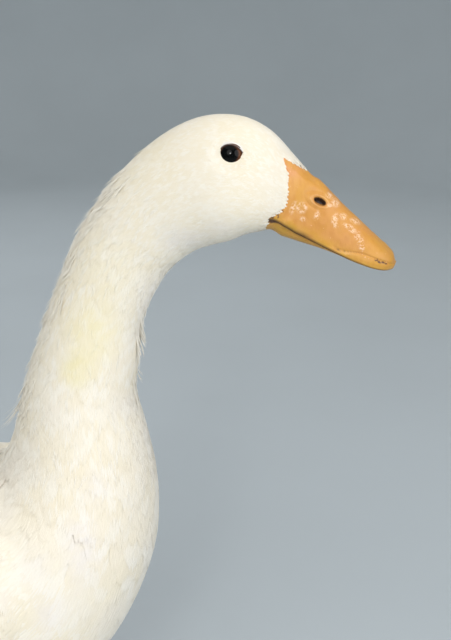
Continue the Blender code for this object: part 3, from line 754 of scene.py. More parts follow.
def scatter(surface, spacing, rng, p_range, q_range=(0, 2 * math.pi), keep=None):
    """Evenly spread places on a surface, each further than its own spacing from the others.

    The spacing is one length, or a function of p and q. Keep says which places may stay.
    """
    (p0, p1), (q0, q1) = p_range, q_range

    def area_at(p, q):
        _, along, around, _ = surface.lie(p, q)
        return np.linalg.norm(np.cross(along, around), axis=-1)

    def spacing_at(p, q):
        return spacing(p, q) if callable(spacing) else np.full(p.shape, spacing)

    grid_p, grid_q = grid(np.linspace(p0, p1, 60), np.linspace(q0, q1, 60))
    areas = area_at(grid_p, grid_q)
    whole = areas.mean() * (p1 - p0) * (q1 - q0)
    wanted = int(TRIES * whole / float(np.min(spacing_at(grid_p, grid_q))) ** 2)
    p, q = rng.uniform(p0, p1, wanted * 3), rng.uniform(q0, q1, wanted * 3)
    chosen = rng.uniform(0, areas.max() * 1.02, len(p)) < area_at(p, q)
    p, q = p[chosen][:wanted], q[chosen][:wanted]
    points = surface.at(p, q)
    if keep:
        kept = keep(p, q, points)
        p, q, points = p[kept], q[kept], points[kept]
    reach = spacing_at(p, q)
    tree = KDTree(len(p))
    for i, point in enumerate(points):
        tree.insert(point, i)
    tree.balance()
    free = np.ones(len(p), bool)
    taken = []
    for i in range(len(p)):
        if free[i]:
            taken.append(i)
            for _, j, _ in tree.find_range(points[i], reach[i]):
                free[j] = False
    return p[taken], q[taken]


def lay_tufts(
    name, surface, p, q, rng, length, width, depth, strands, rows=3, heading=0.0, heading_spread=0.1,
    narrow_root=0.45, gather=0.0, lift=0.0, outer_short=0.25, strand_width=2.2, thick=0.06, sink=1.0,
    curl=0.0, crown=0.1, ragged=0.12, over=0.0, relief=0.3, root_width=0.6, tones=(0.0, 1.0),
    drape=None, drape_share=None,
):
    """Feathers as tufts: each is a fan of narrow pointed strands side by side, lying on the surface.

    Length, width, depth and lift are in metres. The root is sunk by the depth, and the tip stands off by
    the lift. Gather draws the strands' tips together, narrow_root their roots, and outer_short makes the
    outer ones shorter. Over, crown and relief shape the tuft's cross section and its shading. A drape lays
    the strands on the skin instead, wholly or by drape_share; those that would fold there are left out.
    """
    count = len(p)

    def each(value):
        return np.broadcast_to(np.asarray(value, float), (count,))

    length = each(length) * rng.uniform(*LENGTHS_VARY, count)
    width, depth, lift, curl = each(width), each(depth), each(lift), each(curl)
    turn = each(heading) + rng.normal(0, 1, count) * heading_spread
    tone = rng.uniform(*tones, count)
    (down_p, down_q), (side_p, side_q) = surface.ways(p, q, turn)
    shares = np.linspace(0, 1, rows + 1)
    lane = np.linspace(-1, 1, strands)[None, :] + rng.normal(0, 0.5 / strands, (count, strands))
    reach = length[:, None] * (1 - outer_short * lane**2)
    reach = reach * rng.uniform(1 - ragged, 1 + ragged, (count, strands))
    x = reach[..., None] * shares
    spread = narrow_root + (1 - narrow_root) * shares**0.6
    spread = spread * (1 - each(gather)[:, None] * shares**1.6)
    y = lane[..., None] * (width[:, None, None] / 2) * spread[:, None, :]
    y = y + each(curl)[:, None, None] * length[:, None, None] * shares**2
    path_p = p[:, None, None] + down_p[:, None, None] * x + side_p[:, None, None] * y
    path_q = q[:, None, None] + down_q[:, None, None] * x + side_q[:, None, None] * y
    bury = rng.uniform(*DEPTHS_VARY, (count, strands))[..., None]
    height = -depth[:, None, None] * (1 - shares) ** sink * bury + lift[:, None, None] * shares**2.2
    height = height + (over - crown * lane[..., None] ** 2 * shares) * depth[:, None, None]
    path_p = np.clip(path_p, *surface.p_range)
    flat = (count * strands, rows + 1)
    path_p, path_q, height = path_p.reshape(flat), path_q.reshape(flat), height.reshape(flat)
    point, _, _, normal = surface.lie(path_p, path_q)
    lies_flat = np.ones(len(point), bool)
    if drape:
        laid, laid_normal = drape(point)
        share = drape_share(path_p, path_q)[..., None] if drape_share else 1.0
        point, normal = point + (laid - point) * share, unit(normal + (laid_normal - normal) * share)
        height = height + np.repeat(depth, strands)[:, None] * np.squeeze(share)
        pace = np.linalg.norm(np.diff(point, axis=1), axis=2) / (reach.reshape(-1, 1) / rows)
        bend = dot(normal[:, 1:], normal[:, :-1])
        lies_flat = (pace.min(axis=1) > LEAST_PACE) & (pace.max(axis=1) < MOST_PACE)
        lies_flat &= bend.min(axis=1) > LEAST_BEND
    line = point + normal * height[..., None]
    tangent = unit(np.gradient(line, axis=1))
    across = unit(np.cross(normal, tangent))
    above = unit(np.cross(tangent, across))
    strand = width / strands * strand_width
    half = np.repeat(strand, strands)[:, None] / 2
    taper = np.interp(shares, [0, 0.25, 0.6, 0.85, 1.0], [root_width, 1.0, 1.0, 0.72, 0.0])
    half = half * taper[None, :]
    ridge = np.maximum(half * thick * 2, THINNEST)
    ring = np.stack([
        line - across * half[..., None],
        line + across * half[..., None],
        line + above * ridge[..., None],
    ], axis=2)[:, :-1]
    lanes = lane.reshape(-1)
    marks = np.zeros(ring.shape)
    marks[..., 0] = np.clip(lanes, -1, 1)[:, None, None] + np.array([-1, 1, 0]) / strands
    marks[..., 1] = shares[:-1][None, :, None]
    marks[..., 2] = np.repeat(tone, strands)[:, None, None]
    p_share, q_share = surface.share(p, q)
    spot = np.stack([q_share % 1.0, np.clip(p_share, 0, 1)], axis=1)
    normals = normal[:, :-1, None, :] + across[:, :-1, None, :] * np.array([-relief, relief, 0])[:, None]
    parts = (ring, line[:, -1], normals, marks, np.repeat(spot, strands, axis=0))
    return many_blades(name, *[part[lies_flat] for part in parts])


# Skin


def feather_line_block():
    """A slab-sided block round all that is bill, whose back edge is the line where the feathers end."""
    outline = [(forward, up) for up, forward in FEATHER_LINE]
    wedge_front, wedge_up = FEATHER_WEDGE
    beyond = BILL_LENGTH + 20
    outline += [(wedge_front, wedge_up), (wedge_front + 1.5, wedge_up + 6), (beyond, wedge_up + 6)]
    outline += [(beyond, FEATHER_LINE[0][0] - 8), (FEATHER_LINE[0][1], FEATHER_LINE[0][0] - 8)]
    outline = np.array(outline, float)
    forward, up = outline.T
    rows = [bill_to_frame(forward, np.full(len(outline), side), up) for side in (-40.0, 40.0)]
    return closed_grid("feather_line_block", np.stack(rows))


def skin_depth(t, angle):
    """The coat's depth, thinner close to the bill."""
    near = behind_bill(body(t, angle))
    return coat_depth(t) * (NEAR_BILL_SHARE + (1 - NEAR_BILL_SHARE) * ease(near, 0, NEAR_BILL_REACH))


def junctions(trunk):
    """Places along the lines where wings, thighs and tail meet the trunk."""
    t = np.linspace(WING_TIP, WING_FRONT, 120)
    places = [BODY.at(t, border) for border in wing_borders(t)]
    s = np.linspace(0, 1, 20)
    low, high = wing_borders(np.array(WING_FRONT))
    places.append(BODY.at(np.full(20, WING_FRONT), low + (high - low) * s))
    p, q = grid(np.linspace(0, 3, 60), np.linspace(0, 2 * math.pi, 60))
    on_thigh = thigh(p, q).reshape(-1, 3)
    places.append(np.array([v for v in on_thigh if trunk.find_nearest(Vector(v))[3] < TOUCHING]))
    places.append(tail(np.full(80, 1.0), np.linspace(0, 2 * math.pi, 80)))
    places = np.concatenate(places)
    return np.concatenate([places, places * [1, -1, 1]])


def soften(obj, places, turns):
    """Smooths a mesh near the given places, so that its forms run into each other."""
    tree = KDTree(len(places))
    for i, place in enumerate(places):
        tree.insert(place, i)
    tree.balance()
    group = obj.vertex_groups.new(name="junction")
    for vertex in obj.data.vertices:
        away = tree.find(vertex.co)[2] / MM
        if away < SOFT_TO:
            group.add([vertex.index], 1 - float(ease(away, SOFT_FROM, SOFT_TO)), "REPLACE")
    smooth = obj.modifiers.new("soften", "SMOOTH")
    smooth.factor, smooth.iterations, smooth.vertex_group = 0.5, turns, group.name
    apply_modifiers(obj)
    obj.vertex_groups.clear()


class Drape:
    """Lays points onto the skin, with its soft normals."""

    def __init__(self):
        mesh = bpy.data.objects["duck_skin"].data
        self.points, self.normals = np.empty((2, len(mesh.vertices), 3), np.float32)
        mesh.vertices.foreach_get("co", self.points.reshape(-1))
        mesh.vertices.foreach_get("normal", self.normals.reshape(-1))
        mesh.calc_loop_triangles()
        self.faces = np.empty((len(mesh.loop_triangles), 3), np.int32)
        mesh.loop_triangles.foreach_get("vertices", self.faces.reshape(-1))
        self.tree = BVHTree.FromPolygons(self.points.tolist(), self.faces.tolist())

    def __call__(self, points):
        flat = points.reshape(-1, 3)
        hits = [self.tree.find_nearest(Vector(point)) for point in flat]
        spots = np.array([hit[0] for hit in hits])
        corners = self.faces[np.array([hit[2] for hit in hits])]
        away = np.linalg.norm(self.points[corners] - spots[:, None], axis=-1) + 1e-6
        normals = unit((self.normals[corners] / away[..., None] ** 2).sum(axis=1))
        return spots.reshape(points.shape), normals.reshape(points.shape)


def wing_form(side):
    """A plain solid that fills a folded wing."""
    mirror = np.array([1, side, 1])
    steps = np.linspace(0, 1, 15)
    rows = []
    for t in np.linspace(WING_TIP + 0.25, WING_FRONT - 0.1, 60):
        same = np.full(len(steps), t)
        low, high = wing_borders(t)
        turns = low + (high - low) * steps
        outer = Surface(wing, side).at(same, 0.06 + 0.88 * steps)
        normal = BODY.lie(same, turns)[3] * mirror
        inner = BODY.raised(same, turns[::-1], np.full(len(steps), -WING_INTO_TRUNK)) * mirror
        rows.append(np.concatenate([outer - normal * WING_UNDER_QUILLS, inner]))
    return closed_grid("wing_form", np.stack(rows))


def thigh_form(side):
    """A plain solid that fills a thigh."""
    p, q = grid(np.linspace(0, 4, 30), full_turn(40))
    return closed_grid("thigh_form", Surface(thigh, side).raised(p, q, np.full(p.shape, THIGH_OVER_FORM)))


def tail_form():
    """A plain solid inside the tail, slimmer towards the tip of the fan."""
    p, q = grid(np.linspace(-4, 64, 30), full_turn(60))
    rows = tail(p, q)
    middle = rows.mean(axis=1, keepdims=True)
    slim = 0.86 - 0.46 * ease(p, 30, 60)[..., None] * np.array([1, 0.1, 1])
    return closed_grid("tail_form", middle + (rows - middle) * slim)


def trunk_form():
    """Trunk, neck and head inside their coat, cut off where the bill starts."""
    p, q = grid(np.linspace(-0.1, 19, 160), full_turn(96))
    form = closed_grid("duck_skin", BODY.raised(p, q, -skin_depth(p, q)))
    cutter = feather_line_block()
    cut = form.modifiers.new("bill", "BOOLEAN")
    cut.operation, cut.solver, cut.object = "DIFFERENCE", "EXACT", cutter
    apply_modifiers(form)
    bpy.data.objects.remove(cutter)
    return form


class DUCK_OT_skin(bpy.types.Operator):
    """One skin under the whole coat, in place of the solids of flesh"""

    bl_idname = "duck.skin"
    bl_label = "Skin"

    def execute(self, context):
        forms = [trunk_form()]
        for side in (1, -1):
            forms += [wing_form(side), thigh_form(side)]
        forms.append(tail_form())
        trunk = BVHTree.FromObject(forms[0], context.evaluated_depsgraph_get())
        skin = join(forms)
        fuse(skin, context.scene.duck_sizes.skin_voxel, 3)
        soften(skin, junctions(trunk), SOFT_TURNS)
        give_only(skin, "plumage")
        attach(skin, "root")
        sides = [f"{part}_{side}" for part in ("wing", "thigh") for side in ("left", "right")]
        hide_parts("head", "neck_upper", "neck_lower", "trunk", "tail", *sides)
        return {"FINISHED"}


# Plumage


def lay_vanes(name, surface, paths, rng, rows, camber, thick=0.5):
    """Single broad feathers, each laid over a surface from its root to its tip.

    A path holds p and q of root and tip, width, height of root and of tip, and a sideways bow. Widths,
    heights, bow, camber and thickness are in millimetres.
    """
    p0, q0, p1, q1, width, root_height, tip_height, bow = np.array(paths, float).T[:, :, None]
    count = len(paths)
    shares = np.linspace(0, 1, rows + 1)[None, :]
    path_p, path_q = p0 + (p1 - p0) * shares, q0 + (q1 - q0) * shares
    point, along, around, normal = surface.lie(path_p, path_q)
    tangent = unit(np.gradient(point, axis=1))
    across = unit(np.cross(normal, tangent))
    step_p, step_q = surface_step(along, around, across)
    outline = np.interp(shares[0], *np.array(VANE_OUTLINE).T)
    half = width * MM / 2 * outline[None, :] * rng.uniform(0.95, 1.05, (count, rows + 1))
    columns, rise = np.array(VANE_SECTION).T
    y = columns * half[..., None] + (bow * MM * np.sin(math.pi * shares) ** 1.2)[..., None]
    height = (root_height + (tip_height - root_height) * shares**0.8)[..., None] * MM
    fine = np.minimum(half / (3 * MM), 1.0)[..., None]
    height = height + rise * camber * MM * fine
    height[..., :2] -= thick * MM * fine * 0.5
    spots = surface.lie(path_p[..., None] + step_p[..., None] * y, path_q[..., None] + step_q[..., None] * y)
    ring = spots[0] + spots[3] * height[..., None]
    marks = np.zeros(ring.shape)
    marks[..., 0] = columns
    marks[..., 1] = shares[..., None]
    marks[..., 2] = rng.uniform(0, 1, (count, 1, 1))
    p_share, q_share = surface.share(p0[:, 0], q0[:, 0])
    places = np.stack([q_share, p_share], axis=1)
    tips = ring[:, -1].mean(axis=1)
    normals = spots[3] + across[:, :, None, :] * (0.3 * columns)[:, None]
    return many_blades(name, ring[:, :-1], tips, normals[:, :-1], marks[:, :-1], np.clip(places, 0, 1))


def from_eyes(points):
    """For points of the head: distance from the nearer eye, 1 at its opening's border, and the way round."""
    nearest, way = np.full(points.shape[:-1], FAR_AWAY), np.zeros(points.shape)
    for side in (1, -1):
        centre, outward, forward, upward = eye_axes(side)
        off = (points - centre) / MM
        x, y = dot(off, forward) / EYE_OPENING[0], dot(off, upward) / EYE_OPENING[1]
        x = np.where(x > 0, x / (1 + EYE_CORNER / EYE_OPENING[0]), x)
        far = np.where(dot(off, outward) > 0, np.hypot(x, y), FAR_AWAY)
        turn = 2 * np.arctan2(y, x)
        pull = 1 / np.maximum(far, 1.0) ** 2
        flow = -forward * (1 - pull * np.cos(turn))[..., None] + upward * (pull * np.sin(turn))[..., None]
        way = np.where((far < nearest)[..., None], flow + forward, way)
        nearest = np.minimum(nearest, far)
    return nearest, way


def round_the_eyes(p, q):
    """How feathers near the eyes turn from their usual way, and their share of the usual length."""
    points, along, _, normal = BODY.lie(p, q)
    far, way = from_eyes(points)
    down = -unit(along)
    side = np.cross(normal, down)
    turn = np.arctan2(dot(way, side), np.maximum(1 + dot(way, down), 0.15))
    return np.clip(turn, -1.3, 1.3) * (1 - ease(far, 1.5, 3.2)), 0.5 + 0.5 * ease(far, 1.05, 2.0)


class DUCK_OT_head_coat(bpy.types.Operator):
    """Very short smooth feathers on face, head and nape"""

    bl_idname = "duck.head_coat"
    bl_label = "Head coat"

    def execute(self, context):
        rng = np.random.default_rng(SEED + 1)
        long = context.scene.duck_sizes.head_tuft

        def on_head(p, q, points):
            return (behind_bill(points) > BARE_AT_BILL) & (from_eyes(points)[0] > BARE_AT_EYE)

        p, q = scatter(BODY, FACE_SPACING, rng, (FACE_STARTS, 19), keep=on_head)
        near = np.minimum(behind_bill(BODY.at(p, q)), 12) / 12
        turn, short = round_the_eyes(p, q)
        length, width = long * (0.46 + 0.50 * near) * short, 0.0007 + 0.0007 * near
        lay_tufts("coat_face", BODY, p, q, rng, length, width, 0.0002, strands=3, rows=2, heading=turn,
                  heading_spread=0.07, over=0.05, thick=0.05, gather=0.2)
        p, q = scatter(BODY, HEAD_SPACING, rng, (12.9, FACE_STARTS), keep=on_head)
        behind = 1 - ease(p, 13, 14.6)
        turn, short = round_the_eyes(p, q)
        length, width = long * (1.05 + 0.75 * behind) * short, 0.0018 + 0.0009 * behind
        lay_tufts("coat_head", BODY, p, q, rng, length, width, coat_depth(p), strands=4, rows=2, heading=turn,
                  heading_spread=0.09, over=0.05, gather=0.10 + 0.2 * behind)
        return {"FINISHED"}


class DUCK_OT_neck_coat(bpy.types.Operator):
    """Fine pointed locks on the neck, with paler wisps over them and a few that stand out"""

    bl_idname = "duck.neck_coat"
    bl_label = "Neck coat"

    def execute(self, context):
        rng = np.random.default_rng(SEED + 2)
        long = context.scene.duck_sizes.neck_tuft
        for name, low, high, spacing in NECK_BANDS:
            p, q = scatter(BODY, spacing, rng, (low, high))
            high_up = ease(p, 10.5, 13.2)
            lay_tufts(name, BODY, p, q, rng, long * (1.0 - 0.45 * high_up), 0.0058 - 0.0022 * high_up,
                      coat_depth(p), strands=7, heading_spread=0.08, gather=0.15, over=0.04, sink=1.2,
                      strand_width=2.0)

        p, q = scatter(BODY, WISP_SPACING, rng, (7.6, 13.9))
        high_up = ease(p, 9.0, 12.5)
        kept = rng.uniform(0, 1, len(p)) < 0.35 + 0.65 * high_up
        p, q, high_up = p[kept], q[kept], high_up[kept]
        loose = rng.uniform(0, 1, len(p)) ** 2
        lift = 0.03 + 0.08 * loose + 1.2 * loose * np.maximum(np.sin(q), 0) ** 3
        lay_tufts("coat_neck_wisps", BODY, p, q, rng, long * (1.05 - 0.4 * high_up), 0.0019, coat_depth(p),
                  lift=lift * MM, heading_spread=0.18, gather=0.5, thick=0.1, over=0.25, ragged=0.2,
                  root_width=0.3, strand_width=1.0, relief=0.8, **LOOSE)

        fringes = [
            scatter(BODY, spacing, rng, (low, high), np.radians(turns))
            for spacing, low, high, turns in NECK_FRINGES
        ]
        p, q = np.concatenate(fringes, axis=1)
        loose = rng.uniform(0, 1, len(p)) ** 1.5 * np.where(q < math.pi, 1.0, 0.5)
        lay_tufts("coat_neck_fringe", BODY, p, q, rng, 0.0085 + 0.004 * loose, 0.0019, coat_depth(p),
                  lift=(0.3 + 2.1 * loose) * MM, heading_spread=0.2, gather=0.2, thick=0.3, over=0.2,
                  ragged=0.25, root_width=0.4, strand_width=0.9, relief=1.3, **LOOSE)

        p, q = scatter(BODY, HAIR_SPACING, rng, (8.1, 8.9), np.radians((112, 156)))
        lay_tufts("coat_neck_hairs", BODY, p, q, rng, 0.008, 0.0009, coat_depth(p), strands=2,
                  heading=HAIRS_TURN, heading_spread=0.2, thick=0.15, over=0.3, lift=0.0001, ragged=0.2,
                  strand_width=0.8, relief=0.8, sink=1.3, tones=(0.8, 1.0))

        t, turn, length, width, lift, curl = np.array(STRAY_LOCKS).T
        lay_tufts("coat_stray_locks", BODY, t, np.radians(turn), rng, length * MM, width * MM, coat_depth(t),
                  strands=7, rows=6, gather=0.7, lift=lift * MM, curl=curl, thick=0.3, sink=1.5, ragged=0.2,
                  strand_width=1.6, relief=1.3, tones=(0.8, 1.0))
        return {"FINISHED"}


def under_wing(p, q):
    """True where the folded wings hide the trunk."""
    low, high = wing_borders(p)
    hidden = np.zeros(p.shape, bool)
    for turn in (q, math.pi - q):
        turn = (turn + math.pi) % (2 * math.pi) - math.pi
        share = (turn - low) / (high - low)
        hidden |= (share > 0.10) & (share < 0.90) & (p < WING_FRONT - 0.45) & (p > 0.9)
    return hidden


class DUCK_OT_body_coat(bpy.types.Operator):
    """Soft broad feathers on breast, belly, flanks and back"""

    bl_idname = "duck.body_coat"
    bl_label = "Body coat"

    def execute(self, context):
        rng = np.random.default_rng(SEED + 3)
        long = context.scene.duck_sizes.body_feather

        def shown(p, q, points):
            return ~under_wing(p, q)

        drape = Drape()
        for name, low, high in BODY_BANDS:
            surface, keep = (BODY, shown) if low > 0 else (REAR, None)
            p, q = scatter(surface, BODY_SPACING, rng, (low, high), keep=keep)
            # Smaller feathers towards the neck and along the tail
            size = (0.62 + 0.38 * (1 - ease(p, 5.2, 7.4))) * (1 - 0.38 * (1 - ease(p, -1.6, 0.6)))
            lay_tufts(name, surface, p, q, rng, long * size, 0.0165 * size, coat_depth(np.maximum(p, 0)),
                      strands=11, rows=4, heading_spread=0.06, narrow_root=0.5, thick=0.07, sink=1.2,
                      gather=0.08 + 0.25 * ease(p, 5.8, 7.2), outer_short=0.3, ragged=0.04, crown=0.12,
                      drape=drape)
        return {"FINISHED"}


def wing_quills():
    """Paths of the long feathers, as lay_vanes takes them."""
    quills = []
    for i in range(7):  # primaries, the longest ones lowest
        root, tip = (2.6, 0.16 + 0.06 * i), (0.16 + 0.15 * i, 0.20 + 0.085 * i)
        quills.append((*root, *tip, 15, -1.3, -0.9 + 0.12 * i, -2))
    for i in range(10):  # secondaries, their tips along the lower border
        root, tip = (3.9 - 0.08 * i, 0.04 + 0.075 * i), (2.35 - 0.16 * i, 0.02 + 0.065 * i)
        quills.append((*root, *tip, 20, -1.0, 0.09 * i, -1.5))
    for i in range(6):  # tertials over them
        root, tip = (4.1 - 0.1 * i, 0.60 + 0.048 * i), (1.45 - 0.16 * i, 0.56 + 0.064 * i)
        quills.append((*root, *tip, 22, -0.4, 0.6 + 0.06 * i, -1.0))
    return quills


class DUCK_OT_wings(bpy.types.Operator):
    """Folded wings: quills, long coverts and small coverts, laid over each other"""

    bl_idname = "duck.wings"
    bl_label = "Wings"

    def execute(self, context):
        def spacing(p, q):
            return (5.0 + 4.0 * (1 - ease(p, 3.0, 5.0))) * MM

        def at_border(p, q):
            return np.maximum(ease(p, 4.35, 4.9), ease(np.abs(2 * q - 1), 0.72, 0.95))

        drape = Drape()
        for name, side in SIDES.items():
            rng = np.random.default_rng(SEED + 6 + side)
            surface = Surface(wing, side, (WING_TIP, WING_FRONT))
            lay_vanes(f"coat_wing_quills_{name}", surface, wing_quills(), rng, rows=18, camber=0.9)
            p, q = scatter(surface, spacing, rng, (3.0, 5.3), (-0.04, 1.04))
            small = ease(p, 3.1, 5.1)
            length, width, depth = (42 - 24 * small) * MM, (18 - 8.5 * small) * MM, (1.2 - 0.4 * small) * MM
            lay_tufts(f"coat_wing_{name}", surface, p, q, rng, length, width, depth, heading_spread=0.04,
                      over=0.05, ragged=0.02, drape=drape, drape_share=at_border, **COVERTS)
            p, q = scatter(surface, SHOULDER_SPACING, rng, (1.3, 4.6), (0.80, 1.06))
            lay_tufts(f"coat_shoulder_{name}", surface, p, q, rng, 0.040, 0.017, 0.0014, heading=-0.05 * side,
                      heading_spread=0.05, over=0.2, ragged=0.03, drape=drape, **COVERTS)
        return {"FINISHED"}


class DUCK_OT_tail(bpy.types.Operator):
    """A short upturned fan of tail feathers between upper and under coverts"""

    bl_idname = "duck.tail"
    bl_label = "Tail"

    def execute(self, context):
        rng = np.random.default_rng(SEED + 9)
        sheet = Surface(tail_sheet, p_range=(-80, 0), q_range=(-40, 40), step=0.5)
        fan = []
        for f in (np.arange(TAIL_FEATHERS) - (TAIL_FEATHERS - 1) / 2) / ((TAIL_FEATHERS - 1) / 2):
            aside = abs(f)
            reach = 78.5 - 17.0 * aside**2.2
            heights = (-0.6 - 1.4 * aside, 0.4 - 1.6 * aside)
            fan.append((-6, f * 17, -reach, f * 29.5, 17 - 2 * aside, *heights, f * 2.5))
        fan.sort(key=lambda path: path[5])  # the lowest feathers first
        lay_vanes("coat_tail_fan", sheet, fan, rng, rows=12, thick=0.6, camber=0.8)
        return {"FINISHED"}


def thigh_coat(p, angle):
    """The left thigh's surface for laying feathers, with p from the hock up."""
    return thigh(-p, angle)


class DUCK_OT_thighs(bpy.types.Operator):
    """Short soft feathers on the thighs, down to the hocks"""

    bl_idname = "duck.thighs"
    bl_label = "Thighs"

    def execute(self, context):
        drape = Drape()
        for name, side in SIDES.items():
            rng = np.random.default_rng(SEED + 12 + side)
            surface = Surface(thigh_coat, side, (-4, 0), (0, 2 * math.pi))
            p, q = scatter(surface, THIGH_SPACING, rng, (-3.97, -0.9))
            low = ease(-p, 1.5, 4)
            length, width, depth = (20 - 9 * low) * MM, (10 - 4.5 * low) * MM, (0.9 - 0.2 * low) * MM
            lay_tufts(f"coat_thigh_{name}", surface, p, q, rng, length, width, depth, strands=9, rows=4,
                      gather=0.25, over=0.15, thick=0.07, strand_width=1.9, drape=drape)
        return {"FINISHED"}


# Legs


def foot_place(turn_deg, out, height):
    """A point of the left foot, from a direction, a distance from the joint and a height."""
    a = -np.radians(turn_deg + FOOT_TURN_DEG)
    return turned(FOOT_X + np.cos(a) * out, FOOT_Y + np.sin(a) * out, height, 0.0)


def web_reach(turn_deg):
    """How far the foot reaches in each direction: to a toe's end, the hollow edge of the web, or the heel."""
    reach = np.full(turn_deg.shape, HEEL_RADIUS)
    toes = sorted(TOES.values())
    for (start, start_length), (end, end_length) in zip(toes, toes[1:]):
        share = (turn_deg - start) / (end - start)
        straight = start_length + (end_length - start_length) * share
        inside = (share >= 0) & (share <= 1)
        hollow = WEB_HOLLOW * np.sin(math.pi * np.clip(share, 0, 1)) + 0.012 * np.sin(share * 26) ** 2
        reach = np.where(inside, straight * (1 - hollow), reach)
    for toe_turn, length in toes:
        off = np.radians(np.abs(turn_deg - toe_turn))
        strip = TOE_HALF_WIDTH / np.maximum(np.sin(off), TOE_HALF_WIDTH / length)
        reach = np.where(off < math.pi / 2, np.maximum(reach, strip), reach)
    return reach


def toe_place(turn_deg, radius, toe_turn, length):
    """Share of the way along a toe, distance across it in millimetres, and whether it lies ahead at all."""
    off = np.radians(turn_deg - toe_turn)
    return radius * np.cos(off) / length, radius * np.sin(off), np.abs(off) < math.pi / 2


def foot_height(turn_deg, radius):
    """Height of the foot's upper face: thin web, jointed and scaled ridges along the toes, and the ankle."""
    height = np.full(np.broadcast(turn_deg, radius).shape, WEB_THICKNESS)
    for toe_turn, length in TOES.values():
        along, across, ahead = toe_place(turn_deg, radius, toe_turn, length)
        crest = TOE_ROOT_HEIGHT + (TOE_TIP_HEIGHT - TOE_ROOT_HEIGHT) * along
        crest = crest * (1 + KNUCKLE_SWELL * np.cos(2 * math.pi * TOE_JOINTS * along))
        crest = crest + 0.16 * np.abs(np.sin(math.pi * along * length / TOE_SCALE))
        ridge = (crest - WEB_THICKNESS) * bell(across, TOE_HALF_WIDTH)
        height = np.where(ahead, np.maximum(height, WEB_THICKNESS + ridge), height)
    wrinkles = 0.10 * np.sin(turn_deg * 2.6 + 0.6 * np.sin(radius * 0.5)) * ease(radius, 12, 22)
    beyond_ankle = np.maximum(radius - ANKLE_RADIUS, 0)
    rise = (ANKLE_HEIGHT - WEB_THICKNESS) * np.exp(-(beyond_ankle**1.3) / 14)
    return np.maximum(height + wrinkles, WEB_THICKNESS + rise)


def leg_forms(side):
    """Shank, foot and hind toe as closed solids that reach into each other."""
    mirror = np.array([1, side, 1])
    turns = full_turn(40)
    share, half_x, half_y = spline(SHANK, np.linspace(0, len(SHANK) - 1, 60)).T[:, :, None]
    x = HOCK[0] + (FOOT_X - HOCK[0]) * share + half_x * np.cos(turns)
    y = HOCK[1] + (FOOT_Y - HOCK[1]) * share + half_y * np.sin(turns)
    z = HOCK[2] + (ANKLE_HEIGHT - HOCK[2]) * share
    shank = turned(x, y, z, 0.0)

    turn_deg = np.linspace(-180, 180, 541)[None, :-1]
    reach = web_reach(turn_deg)
    shares = np.concatenate([[0.02], np.linspace(0.06, 0.97, 46), [0.99, 1.0]])[:, None]
    top = foot_height(turn_deg, reach * shares)
    top[-1] *= 0.6
    below = np.array([1.0, 0.985, 0.5, 0.02])[:, None]
    sole = np.broadcast_to(np.array([0.25, 0, 0, 0])[:, None], (len(below), turn_deg.shape[1]))
    foot = foot_place(turn_deg, np.concatenate([reach * shares, reach * below]), np.concatenate([top, sole]))

    a = math.radians(180 + HIND_TOE_TURN_DEG)
    out, height, half = spline(HIND_TOE, np.linspace(0, len(HIND_TOE) - 1, 24)).T[:, :, None]
    out = out + HIND_TOE_START
    across = half * np.cos(turns)
    x = FOOT_X + math.cos(a) * out - math.sin(a) * across
    y = FOOT_Y + math.sin(a) * out + math.cos(a) * across
    hind_toe = turned(x, y, height + half * np.sin(turns), 0.0)
    parts = {"shank": shank, "foot": foot, "hind_toe": hind_toe}
    return [closed_grid(name, rows * mirror) for name, rows in parts.items()]


def mark_scales(obj, side):
    """Marks for the leg's material: scales counted along toe or shank, how scaled it is, and how much web."""
    points = np.array([v.co for v in obj.data.vertices]) / MM * [1, side, 1] + [MIDDLE_X, 0, 0]
    normals = np.array([v.normal for v in obj.data.vertices]) * [1, side, 1]
    x, y, z = points.T
    off_x, off_y = x - FOOT_X, y - FOOT_Y
    radius = np.hypot(off_x, off_y)
    turn_deg = -np.degrees(np.arctan2(off_y, off_x)) - FOOT_TURN_DEG
    steps, scaled, web = np.zeros(len(x)), np.zeros(len(x)), np.ones(len(x))
    for toe_turn, length in TOES.values():
        along, across, ahead = toe_place(turn_deg, radius, toe_turn, length)
        near = bell(across, 2.6) * ahead * (z < ANKLE_HEIGHT + 1)
        steps = np.where(near > scaled, along * length / TOE_SCALE, steps)
        scaled = np.maximum(scaled, near)
        web = np.where(ahead, np.minimum(web, ease(np.abs(across), 2.5, 4.5)), web)
    high = ease(z, 11, 15)
    front = np.clip(normals[:, 0] * 1.4 + 0.1, 0, 1)
    steps = np.where(high > 0.5, z / SHANK_SCALE, steps)
    scaled = scaled * (1 - high) * np.clip(normals[:, 2] * 2, 0, 1) + front * high
    web = web * (1 - high) * ease(radius, 9, 16)
    add_mark(obj, "scales", np.stack([steps, scaled, web], axis=1))


class DUCK_OT_legs(bpy.types.Operator):
    """Scaled shanks and webbed feet"""

    bl_idname = "duck.legs"
    bl_label = "Legs"

    def execute(self, context):
        for name, side in SIDES.items():
            leg = join(leg_forms(side))
            leg.name = leg.data.name = f"leg_{name}"
            fuse(leg, context.scene.duck_sizes.leg_voxel, 4)
            give_only(leg, "leg")
            mark_scales(leg, side)
            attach(leg, "root")
            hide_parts(f"shank_{name}", f"foot_{name}", f"hind_toe_{name}")
        return {"FINISHED"}


# Bill


def bill_half_width(forward):
    """The bill's half width, closing in a round end."""
    s = np.clip((forward - BROAD_AT) / (BILL_LENGTH + 0.4 - BROAD_AT), 0, 1)
    end = BILL_WIDTH[-1][1] * np.sqrt(np.maximum(1 - s**2.3, 0.0))
    return np.where(forward <= BROAD_AT, read_table(BILL_WIDTH, np.minimum(forward, BROAD_AT)), end)


